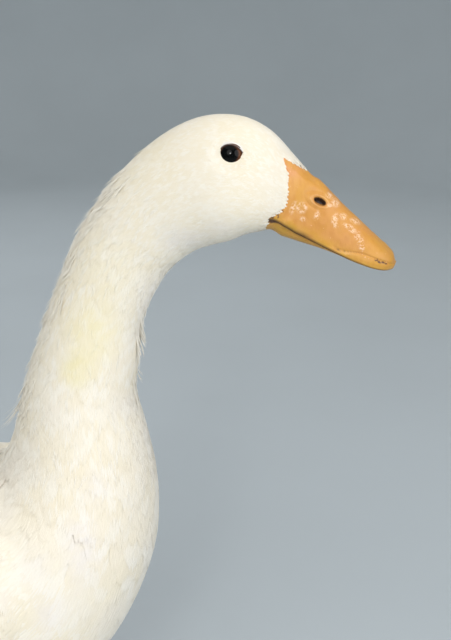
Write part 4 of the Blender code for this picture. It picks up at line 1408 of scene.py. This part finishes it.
def mouth_recess(forward):
    """How far the roof of the mouth lies above the lip."""
    height = read_table(CULMEN, forward) - read_table(LIP, forward)
    closed_at = BILL_LENGTH - 1.2
    return np.minimum(MOUTH_RECESS, 0.4 * height) * np.clip((closed_at - forward) / 4.0, 0.0, 1.0)


def near_spot(forward, up, spot):
    """Distance from a spot, where 1 is its border."""
    return np.hypot((forward - spot[0]) / spot[2], (up - spot[1]) / spot[3])


def nostril_distance(forward, up):
    middle, height, half_length, half_height, tilt = NOSTRIL
    c, s = math.cos(math.radians(tilt)), math.sin(math.radians(tilt))
    x, y = forward - middle, up - height
    return np.hypot((x * c - y * s) / half_length, (x * s + y * c) / half_height)


def bill_swelling(forward, side, up):
    """How far the bill's skin stands out, in millimetres: lip, groove, nostrils, nail and small bumps."""
    groove, lip = read_table(GROOVE, forward), read_table(LIP, forward)
    fade = ease(forward, 0, 5)
    swell = -GROOVE_DEPTH * fade * bell(up - groove, GROOVE_HALF_WIDTH)
    band = np.clip((up - lip) / np.maximum(groove - lip, 0.3), 0, 1)
    swell += LIP_SWELL * fade * np.sin(math.pi * band) * (band < 1)
    hole = nostril_distance(forward, up)
    swell += -NOSTRIL_DEPTH * (1 - ease(hole, 0.45, 1.0)) + NOSTRIL_RIM * bell(hole - 1.34, 0.22)
    behind = ease(NOSTRIL[0] - forward, -1.5, 1.0)
    swell -= NOSTRIL_FOLD * bell(hole - 2.35, 0.28) * behind
    nail_middle, nail_length, nail_width = NAIL
    nail = np.hypot((forward - nail_middle) / nail_length, side / nail_width)
    swell += NAIL_RELIEF * (1 - ease(nail, 0.7, 1.0)) - NAIL_RELIEF * bell(nail - 1.06, 0.08)
    ridge = bell(side, 2.2) * ease(forward, 8, 14)
    rough = np.sin(forward * 2.1 + 1.3 * np.sin(forward * 0.7)) * np.sin(forward * 0.83 + side * 0.6 + 1.0)
    uneven = np.sin(forward * 0.62 + up * 0.35) * np.sin(up * 0.8 - forward * 0.21 + side * 0.1)
    swell += BUMP_HEIGHT * ridge * rough * (1 - ease(forward, 44, 52))
    return swell + BUMP_HEIGHT * uneven


def head_tree():
    """A search tree of the head's own surface, without its coat's depth."""
    p, q = grid(np.linspace(14.5, 19, 90), np.linspace(0, 2 * math.pi, 129))
    count, around = p.shape
    i, k = grid(np.arange(count - 1), np.arange(around - 1))
    a = (i * around + k).ravel()
    faces = np.stack([a, a + 1, a + around + 1, a + around], axis=1)
    return BVHTree.FromPolygons(BODY.at(p, q).reshape(-1, 3).tolist(), faces.tolist())


def settle_on_head(points, tree):
    """Bends the bill's root so that it runs on from the head's surface, and dips under the feathers."""
    flat = points.reshape(-1, 3)
    ahead = (-behind_bill(flat)).reshape(-1)
    for i in np.nonzero(ahead < BILL_BLEND)[0]:
        spot, normal, _, _ = tree.find_nearest(Vector(flat[i]))
        share = 1 - float(ease(ahead[i], 0, BILL_BLEND))
        faces_out = normal.dot(Vector(flat[i]) - Vector(HEAD_MIDDLE)) > 0
        outward = np.array(normal) * (1 if faces_out else -1)
        under = (BILL_ROOT_UNDER + BILL_ROOT_DIP * float(ease(-ahead[i], 0.2, 4))) * MM
        flat[i] += share * (np.array(spot) - outward * under - flat[i])
    return flat.reshape(points.shape)


def bill_marks(obj, forward, side, up, lower=False):
    """Marks for the bill's material: place over the lip, scuffs, painted shade along the mouth and in the
    groove, dark flecks, and nostrils.
    """
    over_lip = up - read_table(LIP, forward)
    scuff = np.zeros(forward.shape)
    for spot in SCUFFS:
        scuff = np.maximum(scuff, 1 - ease(near_spot(forward, up, spot), 0.4, 1.9))
    ring_forward, ring_up, ring_radius, ring_width = SCUFF_RING
    ring = np.hypot(forward - ring_forward, up - ring_up)
    scuff = np.maximum(scuff, bell(ring - ring_radius, ring_width))
    scuff = scuff * ease(np.abs(side), 1.5, 5)
    dark = np.zeros(forward.shape)
    for spot in FLECKS + TIP_MARKS:
        dark = np.maximum(dark, 1 - ease(near_spot(forward, up, spot), 0.5, 1.1))
    # The line is painted shade: dark along the mouth's gap, on the upper lip's lower edge and on the lower
    # bill close under it, and in the groove over the lip.
    width = 0.32 + 0.12 * (1 - ease(forward, 0, 20))
    groove = bell(up - read_table(GROOVE, forward), 0.15) * (1 - 0.6 * ease(forward, 30, 44))
    if lower:
        line = 1 - ease(-over_lip, 0.15, 1.5 * width)
    else:
        line = np.maximum(1 - ease(over_lip, 0.1, width), 0.8 * groove * ease(forward, 0, 4))
    line = line * (1 - 0.35 * ease(forward, 30, 56))
    # The nostril's inside, which the material paints nearly black as shade
    hole = nostril_distance(forward, up)
    hole = 1 - ease(hole, 0.82, 1.06) - (hole > 1) * bell(hole - 1.38, 0.22)
    add_mark(obj, "bill_place", np.stack([forward, over_lip, line], axis=-1))
    add_mark(obj, "bill_marks", np.stack([scuff, dark, hole], axis=-1))


def upper_bill():
    """Rings of the upper bill as forward, side and up, and how many corners of a ring are its outer arch."""
    end = (BILL_LENGTH - 58.64) * np.sin(np.linspace(0, math.pi / 2, 18))
    f = np.concatenate([np.arange(-9.0, 59.0, 0.4), 59 + end])[:, None]
    a = np.linspace(0, math.pi, 145)[None, :]
    half, lip, top = bill_half_width(f), read_table(LIP, f), read_table(CULMEN, f)
    flat = np.clip(f / 50.0, 0, 1)
    side = half * np.sign(np.cos(a)) * np.abs(np.cos(a)) ** (0.75 + 0.15 * flat)
    up = lip + (top - lip) * np.sin(a) ** (0.75 - 0.1 * flat)
    d_side, d_up = np.gradient(side, axis=1), np.gradient(up, axis=1)
    size = np.maximum(np.hypot(d_side, d_up), 1e-9)
    swell = bill_swelling(np.broadcast_to(f, side.shape), side, up) * ease(half, 1.0, 6.0)
    side, up = side + d_up / size * swell, up - d_side / size * swell
    inner, recess = np.maximum(half - 1.5, half * 0.5), lip + mouth_recess(f) - lip
    roof_side, roof_up = np.array(ROOF).T
    side = np.concatenate([side, inner * roof_side], axis=1)
    up = np.concatenate([up, lip + recess * roof_up], axis=1)
    return np.broadcast_to(f, side.shape), side, up, a.shape[1]


def lower_bill():
    """Rings of the lower bill as forward, side and up."""
    f = np.linspace(-8.5, BILL_LENGTH - LIP_OVERHANG, 110)[:, None]
    a = np.linspace(0, math.pi, 49)[None, :]
    half = np.maximum(bill_half_width(f) - LIP_OVERHANG, bill_half_width(f) * 0.32)
    rim = read_table(LIP, f) + mouth_recess(f) - 0.35
    keel = np.minimum(read_table(KEEL, f), rim - 0.8)
    side = -half * np.cos(a)
    return np.broadcast_to(f, side.shape), side, rim - (rim - keel) * np.sin(a) ** 0.6


class DUCK_OT_bill(bpy.types.Operator):
    """Upper and lower bill with lip, groove, nostrils and nail"""

    bl_idname = "duck.bill"
    bl_label = "Bill"

    def execute(self, context):
        tree = head_tree()
        forward, side, up, arch = upper_bill()
        points = bill_to_frame(forward, side, up)
        points[:, :arch] = settle_on_head(points[:, :arch].copy(), tree)
        upper = closed_grid("bill_upper_skin", points, "bill")
        bill_marks(upper, forward, side, up)
        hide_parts("bill_upper")
        forward, side, up = lower_bill()
        points = settle_on_head(bill_to_frame(forward, side, up), tree)
        lower = closed_grid("bill_lower_skin", points, "bill")
        bill_marks(lower, forward, side, up, lower=True)
        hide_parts("bill_lower")
        for piece in (upper, lower):
            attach(piece, "root")
        return {"FINISHED"}


# Eyes


def eye_outline(turns):
    """The opening between the lids: an oval with a pointed front corner."""
    half_length, half_height = EYE_OPENING
    x = half_length * np.cos(turns) + EYE_CORNER * bell(turns, 0.42)
    x -= 0.25 * bell(np.abs(turns) - math.pi, 0.4)
    return x, half_height * np.sin(turns) * (1 - 0.10 * np.cos(turns))


class DUCK_OT_eyes(bpy.types.Operator):
    """Glossy dark eyes in thin-rimmed lids"""

    bl_idname = "duck.eyes"
    bl_label = "Eyes"

    def execute(self, context):
        tree = head_tree()
        for name, side in SIDES.items():
            centre, outward, forward, upward = eye_axes(side)
            bpy.ops.mesh.primitive_uv_sphere_add(
                segments=72, ring_count=48, radius=EYE_RADIUS * MM, location=(0, 0, 0)
            )
            ball = context.object
            ball.name = ball.data.name = f"eyeball_{name}"
            turn = Matrix((forward, upward * -side, outward)).transposed()
            ball.data.transform(Matrix.Translation(centre) @ turn.to_4x4())
            give_only(ball, "eye")
            points = np.array([v.co for v in ball.data.vertices]) - centre
            out = dot(points, outward)
            away = np.hypot(dot(points, forward) / EYE_OPENING[0], dot(points, upward) / EYE_OPENING[1]) / MM
            # The ball draws back a little under the lids
            under = np.clip(away - 1.12, 0, 0.4) * 12 * (out > 0)
            points = points - outward * np.minimum(under * MM, np.maximum(out, 0))[:, None]
            ball.data.vertices.foreach_set("co", (points + centre).astype(np.float32).ravel())
            look = unit(outward * EYE_RADIUS + forward * PUPIL_SHIFT[0] + upward * PUPIL_SHIFT[1])
            add_mark(ball, "from_pupil", np.linalg.norm(points - look * EYE_RADIUS * MM, axis=1) / MM)
            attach(ball, "root")
            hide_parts(f"eye_{name}")

            x, y = eye_outline(np.linspace(-math.pi, math.pi, 97)[:-1])
            radius = np.hypot(x, y)
            rows = []
            for beyond, lift, on_head, _ in LID_ROWS:
                grow = (radius + beyond) / radius
                spots = centre + (forward * (x * grow)[:, None] + upward * (y * grow)[:, None]) * MM
                deep = np.sqrt(np.maximum(EYE_RADIUS**2 - (x * grow) ** 2 - (y * grow) ** 2, 1.0))
                hits = [tree.ray_cast(Vector(spot + outward * 0.02), Vector(-outward))[0] for spot in spots]
                on_skin = dot(np.array(hits) - spots, outward) / MM
                height = (deep * (1 - on_head) + on_skin * on_head) + lift
                rows.append(spots + outward * (height * MM)[:, None])
            lids = closed_ring(f"eyelids_{name}", np.array(rows), "lid")
            add_mark(lids, "rim", np.repeat([row[-1] for row in LID_ROWS], len(x)))
            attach(lids, "root")
        return {"FINISHED"}


# Stage


class DUCK_OT_stage(bpy.types.Operator):
    """Pale floor that rises into a backdrop all round, soft lights and the camera"""

    bl_idname = "duck.stage"
    bl_label = "Stage"

    def execute(self, context):
        radius = context.scene.duck_sizes.floor_radius
        rise_from, bend = radius * 0.8, radius * 0.35
        profile = [(0.0001, 0), (radius * 0.5, 0), (rise_from, 0)]
        for a in np.linspace(0.15, math.pi / 2, 9):
            profile.append((rise_from + bend * math.sin(a), bend * (1 - math.cos(a))))
        profile.append((profile[-1][0], radius * 1.5))
        turns = full_turn(64)
        rows = [[(r * math.cos(a), r * math.sin(a), z) for a in turns] for r, z in profile]
        i, k = grid(np.arange(len(profile) - 1), np.arange(len(turns)))
        this, after = i * len(turns), (k + 1) % len(turns)
        above = this + len(turns)
        faces = np.stack([this + k, this + after, above + after, above + k], axis=-1).reshape(-1, 4)
        mesh = bpy.data.meshes.new("floor")
        mesh.from_pydata(np.array(rows).reshape(-1, 3).tolist(), [], faces.tolist())
        mesh.flip_normals()
        mesh.shade_smooth()
        new_object("floor", mesh, "floor")
        for name, place, aim, size, power, colour in STAGE_LIGHTS:
            light = bpy.data.lights.new(name, "AREA")
            light.shape, light.size, light.energy, light.color = "DISK", size, power, colour
            lamp = bpy.data.objects.new(name, light)
            context.scene.collection.objects.link(lamp)
            lamp.location = place
            lamp.rotation_euler = (Vector(aim) - Vector(place)).to_track_quat("-Z", "Y").to_euler()
        world = bpy.data.worlds.new("studio")
        world.use_nodes = True
        background = world.node_tree.nodes["Background"].inputs
        background["Color"].default_value = WORLD_COLOUR
        background["Strength"].default_value = WORLD_LIGHT
        context.scene.world = world
        context.scene.view_settings.view_transform = "Standard"
        camera = bpy.data.objects.new("camera", bpy.data.cameras.new("camera"))
        context.scene.collection.objects.link(camera)
        camera.data.lens = CAMERA_LENS
        camera.data.clip_start = CAMERA_NEAREST
        camera.location = CAMERA_PLACE
        camera.rotation_euler = (math.radians(90 - CAMERA_DIP_DEG), 0, 0)
        context.scene.camera = camera
        return {"FINISHED"}


# Materials


class Shade:
    """A material whose nodes are added by short calls. A wire is a node's output socket."""

    def __init__(self, name, **settings):
        self.material = bpy.data.materials.get(name) or bpy.data.materials.new(name)
        self.material.use_nodes = True
        self.tree = self.material.node_tree
        self.tree.nodes.clear()
        self.shader = self.tree.nodes.new("ShaderNodeBsdfPrincipled")
        end = self.tree.nodes.new("ShaderNodeOutputMaterial")
        self.tree.links.new(self.shader.outputs[0], end.inputs[0])
        for key, value in settings.items():
            self.put(self.shader.inputs[key.replace("_", " ").title().replace("Ior", "IOR")], value)

    def put(self, socket, value):
        """Gives a socket a wire, a number, or a place or colour of three numbers."""
        if isinstance(value, bpy.types.NodeSocket):
            self.tree.links.new(value, socket)
        elif isinstance(value, tuple) and len(socket.default_value) == 4:
            socket.default_value = (*value, 1)
        else:
            socket.default_value = value

    def node(self, kind, inputs=(), output=0, **settings):
        node = self.tree.nodes.new(kind)
        for key, value in settings.items():
            setattr(node, key, value)
        for key, value in dict(inputs).items():
            self.put(node.inputs[key], value)
        return node.outputs[output]

    def math(self, operation, a, b=0.0):
        return self.node("ShaderNodeMath", {0: a, 1: b}, operation=operation)

    def spread(self, value, low, high, to_low=0.0, to_high=1.0):
        """Eases a value from low..high to to_low..to_high."""
        inputs = {0: value, 1: low, 2: high, 3: to_low, 4: to_high}
        return self.node("ShaderNodeMapRange", inputs, interpolation_type="SMOOTHSTEP")

    def mix(self, share, a, b):
        """Goes from colour a to colour b by the share."""
        return self.node("ShaderNodeMix", {0: share, 6: a, 7: b}, output=2, data_type="RGBA")

    def tint(self, colour, *rows):
        """Lays colours over a colour, each by where it is and how strong it is."""
        for where, strength, tint in rows:
            colour = self.mix(self.times(where, strength), colour, tint)
        return colour

    def times(self, a, b):
        return self.math("MULTIPLY", a, b)

    def place(self):
        return self.node("ShaderNodeTexCoord", output=3)

    def mark(self, name, output=1):
        """What add_mark stored: output 1 holds three numbers, and output 2 holds one."""
        return self.node("ShaderNodeAttribute", output=output, attribute_name=name)

    def noise(self, vector, scale, detail=2.0, rough=0.5, size=(1, 1, 1)):
        stretched = self.node("ShaderNodeVectorMath", {0: vector, 1: size}, operation="MULTIPLY")
        inputs = {"Vector": stretched, "Scale": scale, "Detail": detail, "Roughness": rough}
        return self.node("ShaderNodeTexNoise", inputs)

    def blot(self, vector, centre, size, soft=0.5):
        """1 near the centre, and 0 beyond the size in each direction."""
        off = self.node("ShaderNodeVectorMath", {0: vector, 1: tuple(centre)}, operation="SUBTRACT")
        off = self.node("ShaderNodeVectorMath", {0: off, 1: tuple(1 / s for s in size)}, operation="MULTIPLY")
        far = self.node("ShaderNodeVectorMath", {0: off}, output=1, operation="LENGTH")
        return self.spread(far, 1 - soft, 1.0, 1.0, 0.0)

    def parts(self, vector):
        node = self.tree.nodes.new("ShaderNodeSeparateXYZ")
        self.tree.links.new(vector, node.inputs[0])
        return node.outputs

    def bump(self, height, strength, distance, normal=None):
        inputs = {"Height": height, "Strength": strength, "Distance": distance}
        if normal:
            inputs["Normal"] = normal
        return self.node("ShaderNodeBump", inputs)

    def finish(self, colour=None, normal=None, roughness=None):
        for key, value in (("Base Color", colour), ("Normal", normal), ("Roughness", roughness)):
            if value is not None:
                self.put(self.shader.inputs[key], value)
        return self.material


def scaled(colour, *factors):
    """A colour times a factor for each channel, never brighter than plumage can be."""
    return tuple(min(c * k, BRIGHTEST) for c, k in zip(colour, factors))


def plumage_material(colours):
    shade = Shade("plumage", roughness=0.72, specular_ior_level=0.2, sheen_weight=0.35, sheen_roughness=0.5)
    spot = shade.place()
    across, along, tone = shade.parts(shade.mark("vane"))
    white = tuple(colours.feather)
    stains_and_shade = {"yellow": tuple(colours.stain), "lavender_shade": tuple(colours.lavender_shade)}
    drift = shade.spread(shade.noise(spot, 38, 3), 0.35, 0.65)
    cool = shade.spread(shade.noise(spot, 22, 2), 0.5, 0.72)
    pale = shade.times(shade.spread(tone, 0.35, 1.0), shade.spread(along, 0.0, 0.8, 0.5, 1.0))
    colour = shade.mix(shade.times(drift, 0.6), white, scaled(white, 0.965, 0.945, 0.87))
    colour = shade.tint(colour, (cool, 0.6, scaled(white, 0.975, 0.985, 1.06)))
    colour = shade.mix(pale, colour, scaled(white, 1.02, 1.045, 1.10))
    # Yellow stains, and painted lavender shade on breast, throat and cheek
    for (t, turn), size, strength, stain in STAINS_AND_SHADE:
        centre = BODY.at(np.array(float(t)), np.array(math.radians(turn)))
        share = shade.times(shade.blot(spot, centre, [s * MM for s in size], 0.9), strength)
        ragged = shade.spread(shade.noise(spot, 170, 3), 0.3, 0.7, 0.55, 1.0)
        colour = shade.tint(colour, (share, ragged, stains_and_shade[stain]))
    # Barbs that run slantwise from the feather's middle
    slant = shade.math("ADD", shade.times(along, 60.0), shade.times(shade.math("ABSOLUTE", across), 9.0))
    barbs = shade.math("SINE", shade.times(slant, 6.283))
    fine = shade.bump(shade.noise(spot, 900, 2), 0.15, 0.0003)
    return shade.finish(colour, shade.bump(barbs, 0.12, 0.0002, fine))


def bill_material(colours):
    shade = Shade("bill", roughness=0.42, specular_ior_level=0.45, coat_weight=0.08, coat_roughness=0.3)
    spot = shade.place()
    forward, over_lip, line = shade.parts(shade.mark("bill_place"))
    scuff, dark, hole = shade.parts(shade.mark("bill_marks"))
    pink, yellow = (0.70, 0.31, 0.12), (0.68, 0.37, 0.035)
    patchy = shade.spread(shade.noise(spot, 150, 4, 0.6), 0.35, 0.65)
    streaks = shade.spread(shade.noise(spot, 330, 4, 0.65, size=(1.3, 1.0, 0.5)), 0.42, 0.66)
    broad = shade.spread(shade.noise(spot, 75, 3, 0.55), 0.42, 0.64)
    low_root = shade.times(shade.spread(over_lip, 5.5, 1.0), shade.spread(forward, 26.0, 8.0))
    colour = shade.mix(shade.spread(forward, 9.0, -3.0), tuple(colours.bill), pink)
    colour = shade.tint(
        colour,
        (shade.spread(forward, 42.0, 60.0), 0.75, yellow),
        (shade.spread(over_lip, 7.0, 1.0), 0.6, yellow),
        (shade.spread(over_lip, 2.2, 0.8), 0.7, (0.74, 0.42, 0.06)),  # bright along the lip
        (shade.spread(forward, 46.0, 64.0), 0.6, (0.44, 0.21, 0.025)),  # darker at the tip
        (shade.spread(over_lip, 0.0, -1.6), 0.55, (0.40, 0.21, 0.03)),  # painted shade: darker on the lower bill, under the upper one
        (low_root, 0.5, (0.50, 0.30, 0.03)),
        (patchy, 0.3, pink),
        (broad, 0.55, (0.66, 0.34, 0.045)),
        (streaks, 0.3, (0.55, 0.21, 0.035)),
    )
    # Worn places: scuffs broken up by veins and flakes, and a few specks everywhere
    wave = shade.math("ABSOLUTE", shade.math("SUBTRACT", shade.noise(spot, 420, 3, 0.6), 0.5))
    veins = shade.spread(wave, 0.055, 0.015)
    flakes = shade.spread(shade.noise(spot, 1100, 3, 0.7), 0.50, 0.60)
    worn = shade.times(scuff, shade.math("MAXIMUM", veins, shade.times(flakes, 0.8)))
    specks = shade.times(shade.spread(shade.noise(spot, 620, 2), 0.69, 0.75), 0.4)
    worn = shade.math("MAXIMUM", worn, specks)
    rim = shade.spread(hole, -0.4, -1.0)
    colour = shade.tint(
        colour,
        (worn, 0.9, (0.90, 0.63, 0.42)),
        # painted shade along the mouth's gap and in the groove
        (line, shade.spread(shade.noise(spot, 700, 3), 0.25, 0.45, 0.75, 1.0), (0.075, 0.030, 0.012)),
        (dark, shade.spread(shade.noise(spot, 1500, 3, 0.6), 0.38, 0.50), (0.07, 0.02, 0.012)),
        (rim, shade.spread(patchy, 0.0, 1.0, 0.15, 0.4), (0.90, 0.58, 0.26)),
    )
    # Painted shade: the nostrils nearly black inside
    colour = shade.mix(shade.math("MAXIMUM", hole, 0.0), colour, (0.014, 0.006, 0.005))
    bumps = shade.bump(worn, 0.5, 0.00012, shade.bump(shade.noise(spot, 420, 4, 0.6), 0.35, 0.0003))
    normal = shade.bump(shade.noise(spot, 1600, 2), 0.2, 0.00012, bumps)
    return shade.finish(colour, normal, shade.spread(shade.math("MAXIMUM", worn, patchy), 0, 1, 0.38, 0.55))


def eye_material(colours):
    """A dark pupil, a brown iris with a dark border, and painted shade, nearly black, on the ball under the
    lids.
    """
    shade = Shade(
        "eye", roughness=0.3, specular_ior_level=0.0, coat_weight=0.55, coat_roughness=0.015, coat_ior=1.33
    )
    away = shade.mark("from_pupil", output=2)
    grain = shade.noise(shade.place(), 900, 3)
    iris = shade.mix(shade.spread(grain, 0.3, 0.7), tuple(colours.iris), (0.12, 0.045, 0.018))
    iris = shade.mix(shade.spread(away, 4.2, 5.4), (0.02, 0.008, 0.004), iris)
    colour = shade.mix(shade.spread(away, 4.1, 4.5), (0.002, 0.002, 0.002), iris)
    # Painted shade: nearly black on the ball under the lids
    return shade.finish(shade.mix(shade.spread(away, 6.0, 6.8), colour, (0.02, 0.008, 0.006)))


def leg_material(colours):
    shade = Shade("leg", roughness=0.48, specular_ior_level=0.45)
    spot = shade.place()
    steps, scaled_top, web = shade.parts(shade.mark("scales"))
    base = tuple(colours.leg)
    blotch = shade.spread(shade.noise(spot, 90, 4, 0.6), 0.35, 0.68)
    cells = shade.node("ShaderNodeTexVoronoi", {"Vector": spot, "Scale": 720.0}, feature="DISTANCE_TO_EDGE")
    seams = shade.spread(cells, 0.02, 0.16)
    phase = shade.math("FRACT", steps)
    edge = shade.times(shade.spread(phase, 0.0, 0.12), shade.spread(phase, 1.0, 0.86))
    net = shade.node("ShaderNodeMix", {0: scaled_top, 2: seams, 3: edge})
    grime = shade.times(shade.spread(shade.noise(spot, 260, 5, 0.65), 0.55, 0.75), 0.4)
    colour = shade.tint(
        shade.mix(blotch, base, (0.86, 0.42, 0.10)),
        (web, 0.5, (0.84, 0.36, 0.10)),
        (shade.math("SUBTRACT", 1.0, net), 0.55, scaled(base, 0.72, 0.55, 0.5)),
    )
    colour = shade.mix(grime, colour, (0.45, 0.17, 0.05))
    normal = shade.bump(shade.noise(spot, 1300, 3), 0.25, 0.00015, shade.bump(net, 0.7, 0.00035))
    return shade.finish(colour, normal, shade.spread(grime, 0, 0.4, 0.42, 0.6))


def claw_material():
    shade = Shade("claw", roughness=0.35, specular_ior_level=0.5)
    spot = shade.place()
    streaks = shade.spread(shade.noise(spot, 500, 3, size=(0.3, 1.6, 1.0)), 0.3, 0.7)
    colour = shade.mix(streaks, (0.55, 0.36, 0.18), (0.30, 0.19, 0.11))
    return shade.finish(colour, shade.bump(shade.noise(spot, 1500, 2), 0.3, 0.0001))


def floor_material(colours):
    shade = Shade("floor", roughness=0.85, specular_ior_level=0.2)
    spot, base = shade.place(), tuple(colours.floor)
    colour = shade.mix(shade.spread(shade.noise(spot, 3, 3), 0.3, 0.7), base, scaled(base, 0.97, 0.97, 0.97))
    return shade.finish(colour, shade.bump(shade.noise(spot, 400, 3), 0.1, 0.0003))


def lid_material():
    shade = Shade("lid", roughness=0.55, specular_ior_level=0.4)
    spot, rim = shade.place(), shade.mark("rim", output=2)
    grain = shade.spread(shade.noise(spot, 800, 3), 0.3, 0.7)
    skin = shade.mix(grain, (0.74, 0.70, 0.66), (0.80, 0.77, 0.72))
    colour = shade.mix(shade.spread(rim, 0.1, 0.75), skin, (0.07, 0.045, 0.04))
    return shade.finish(colour, shade.bump(shade.noise(spot, 2500, 2), 0.2, 0.0001))


def make_materials(colours):
    plumage_material(colours)
    bill_material(colours)
    eye_material(colours)
    lid_material()
    leg_material(colours)
    claw_material()
    floor_material(colours)


class DUCK_PT_panel(bpy.types.Panel):
    bl_label = "White farm duck"
    bl_idname = "DUCK_PT_panel"
    bl_space_type, bl_region_type, bl_category = "VIEW_3D", "UI", "Duck"

    def draw(self, context):
        for group in (context.scene.duck_sizes, context.scene.duck_colours):
            for name in group.bl_rna.properties.keys():
                if name not in ("rna_type", "name"):
                    self.layout.prop(group, name)
        for step in STEPS:
            self.layout.operator(step.bl_idname)


STEPS = [
    DUCK_OT_skin, DUCK_OT_head_coat, DUCK_OT_neck_coat, DUCK_OT_body_coat, DUCK_OT_wings, DUCK_OT_tail,
    DUCK_OT_thighs, DUCK_OT_legs, DUCK_OT_bill, DUCK_OT_eyes, DUCK_OT_stage,
]
CLASSES = [DuckSizes, DuckColours, *STEPS, DUCK_PT_panel]


def register():
    for cls in CLASSES:
        bpy.utils.register_class(cls)
    bpy.types.Scene.duck_sizes = bpy.props.PointerProperty(type=DuckSizes)
    bpy.types.Scene.duck_colours = bpy.props.PointerProperty(type=DuckColours)


def unregister():
    del bpy.types.Scene.duck_sizes, bpy.types.Scene.duck_colours
    for cls in reversed(CLASSES):
        bpy.utils.unregister_class(cls)


def main():
    register()
    make_materials(bpy.context.scene.duck_colours)
    for step in STEPS:
        bpy.ops.object.select_all(action="DESELECT")
        getattr(bpy.ops.duck, step.bl_idname.split(".")[1])()


if __name__ == "__main__":
    main()
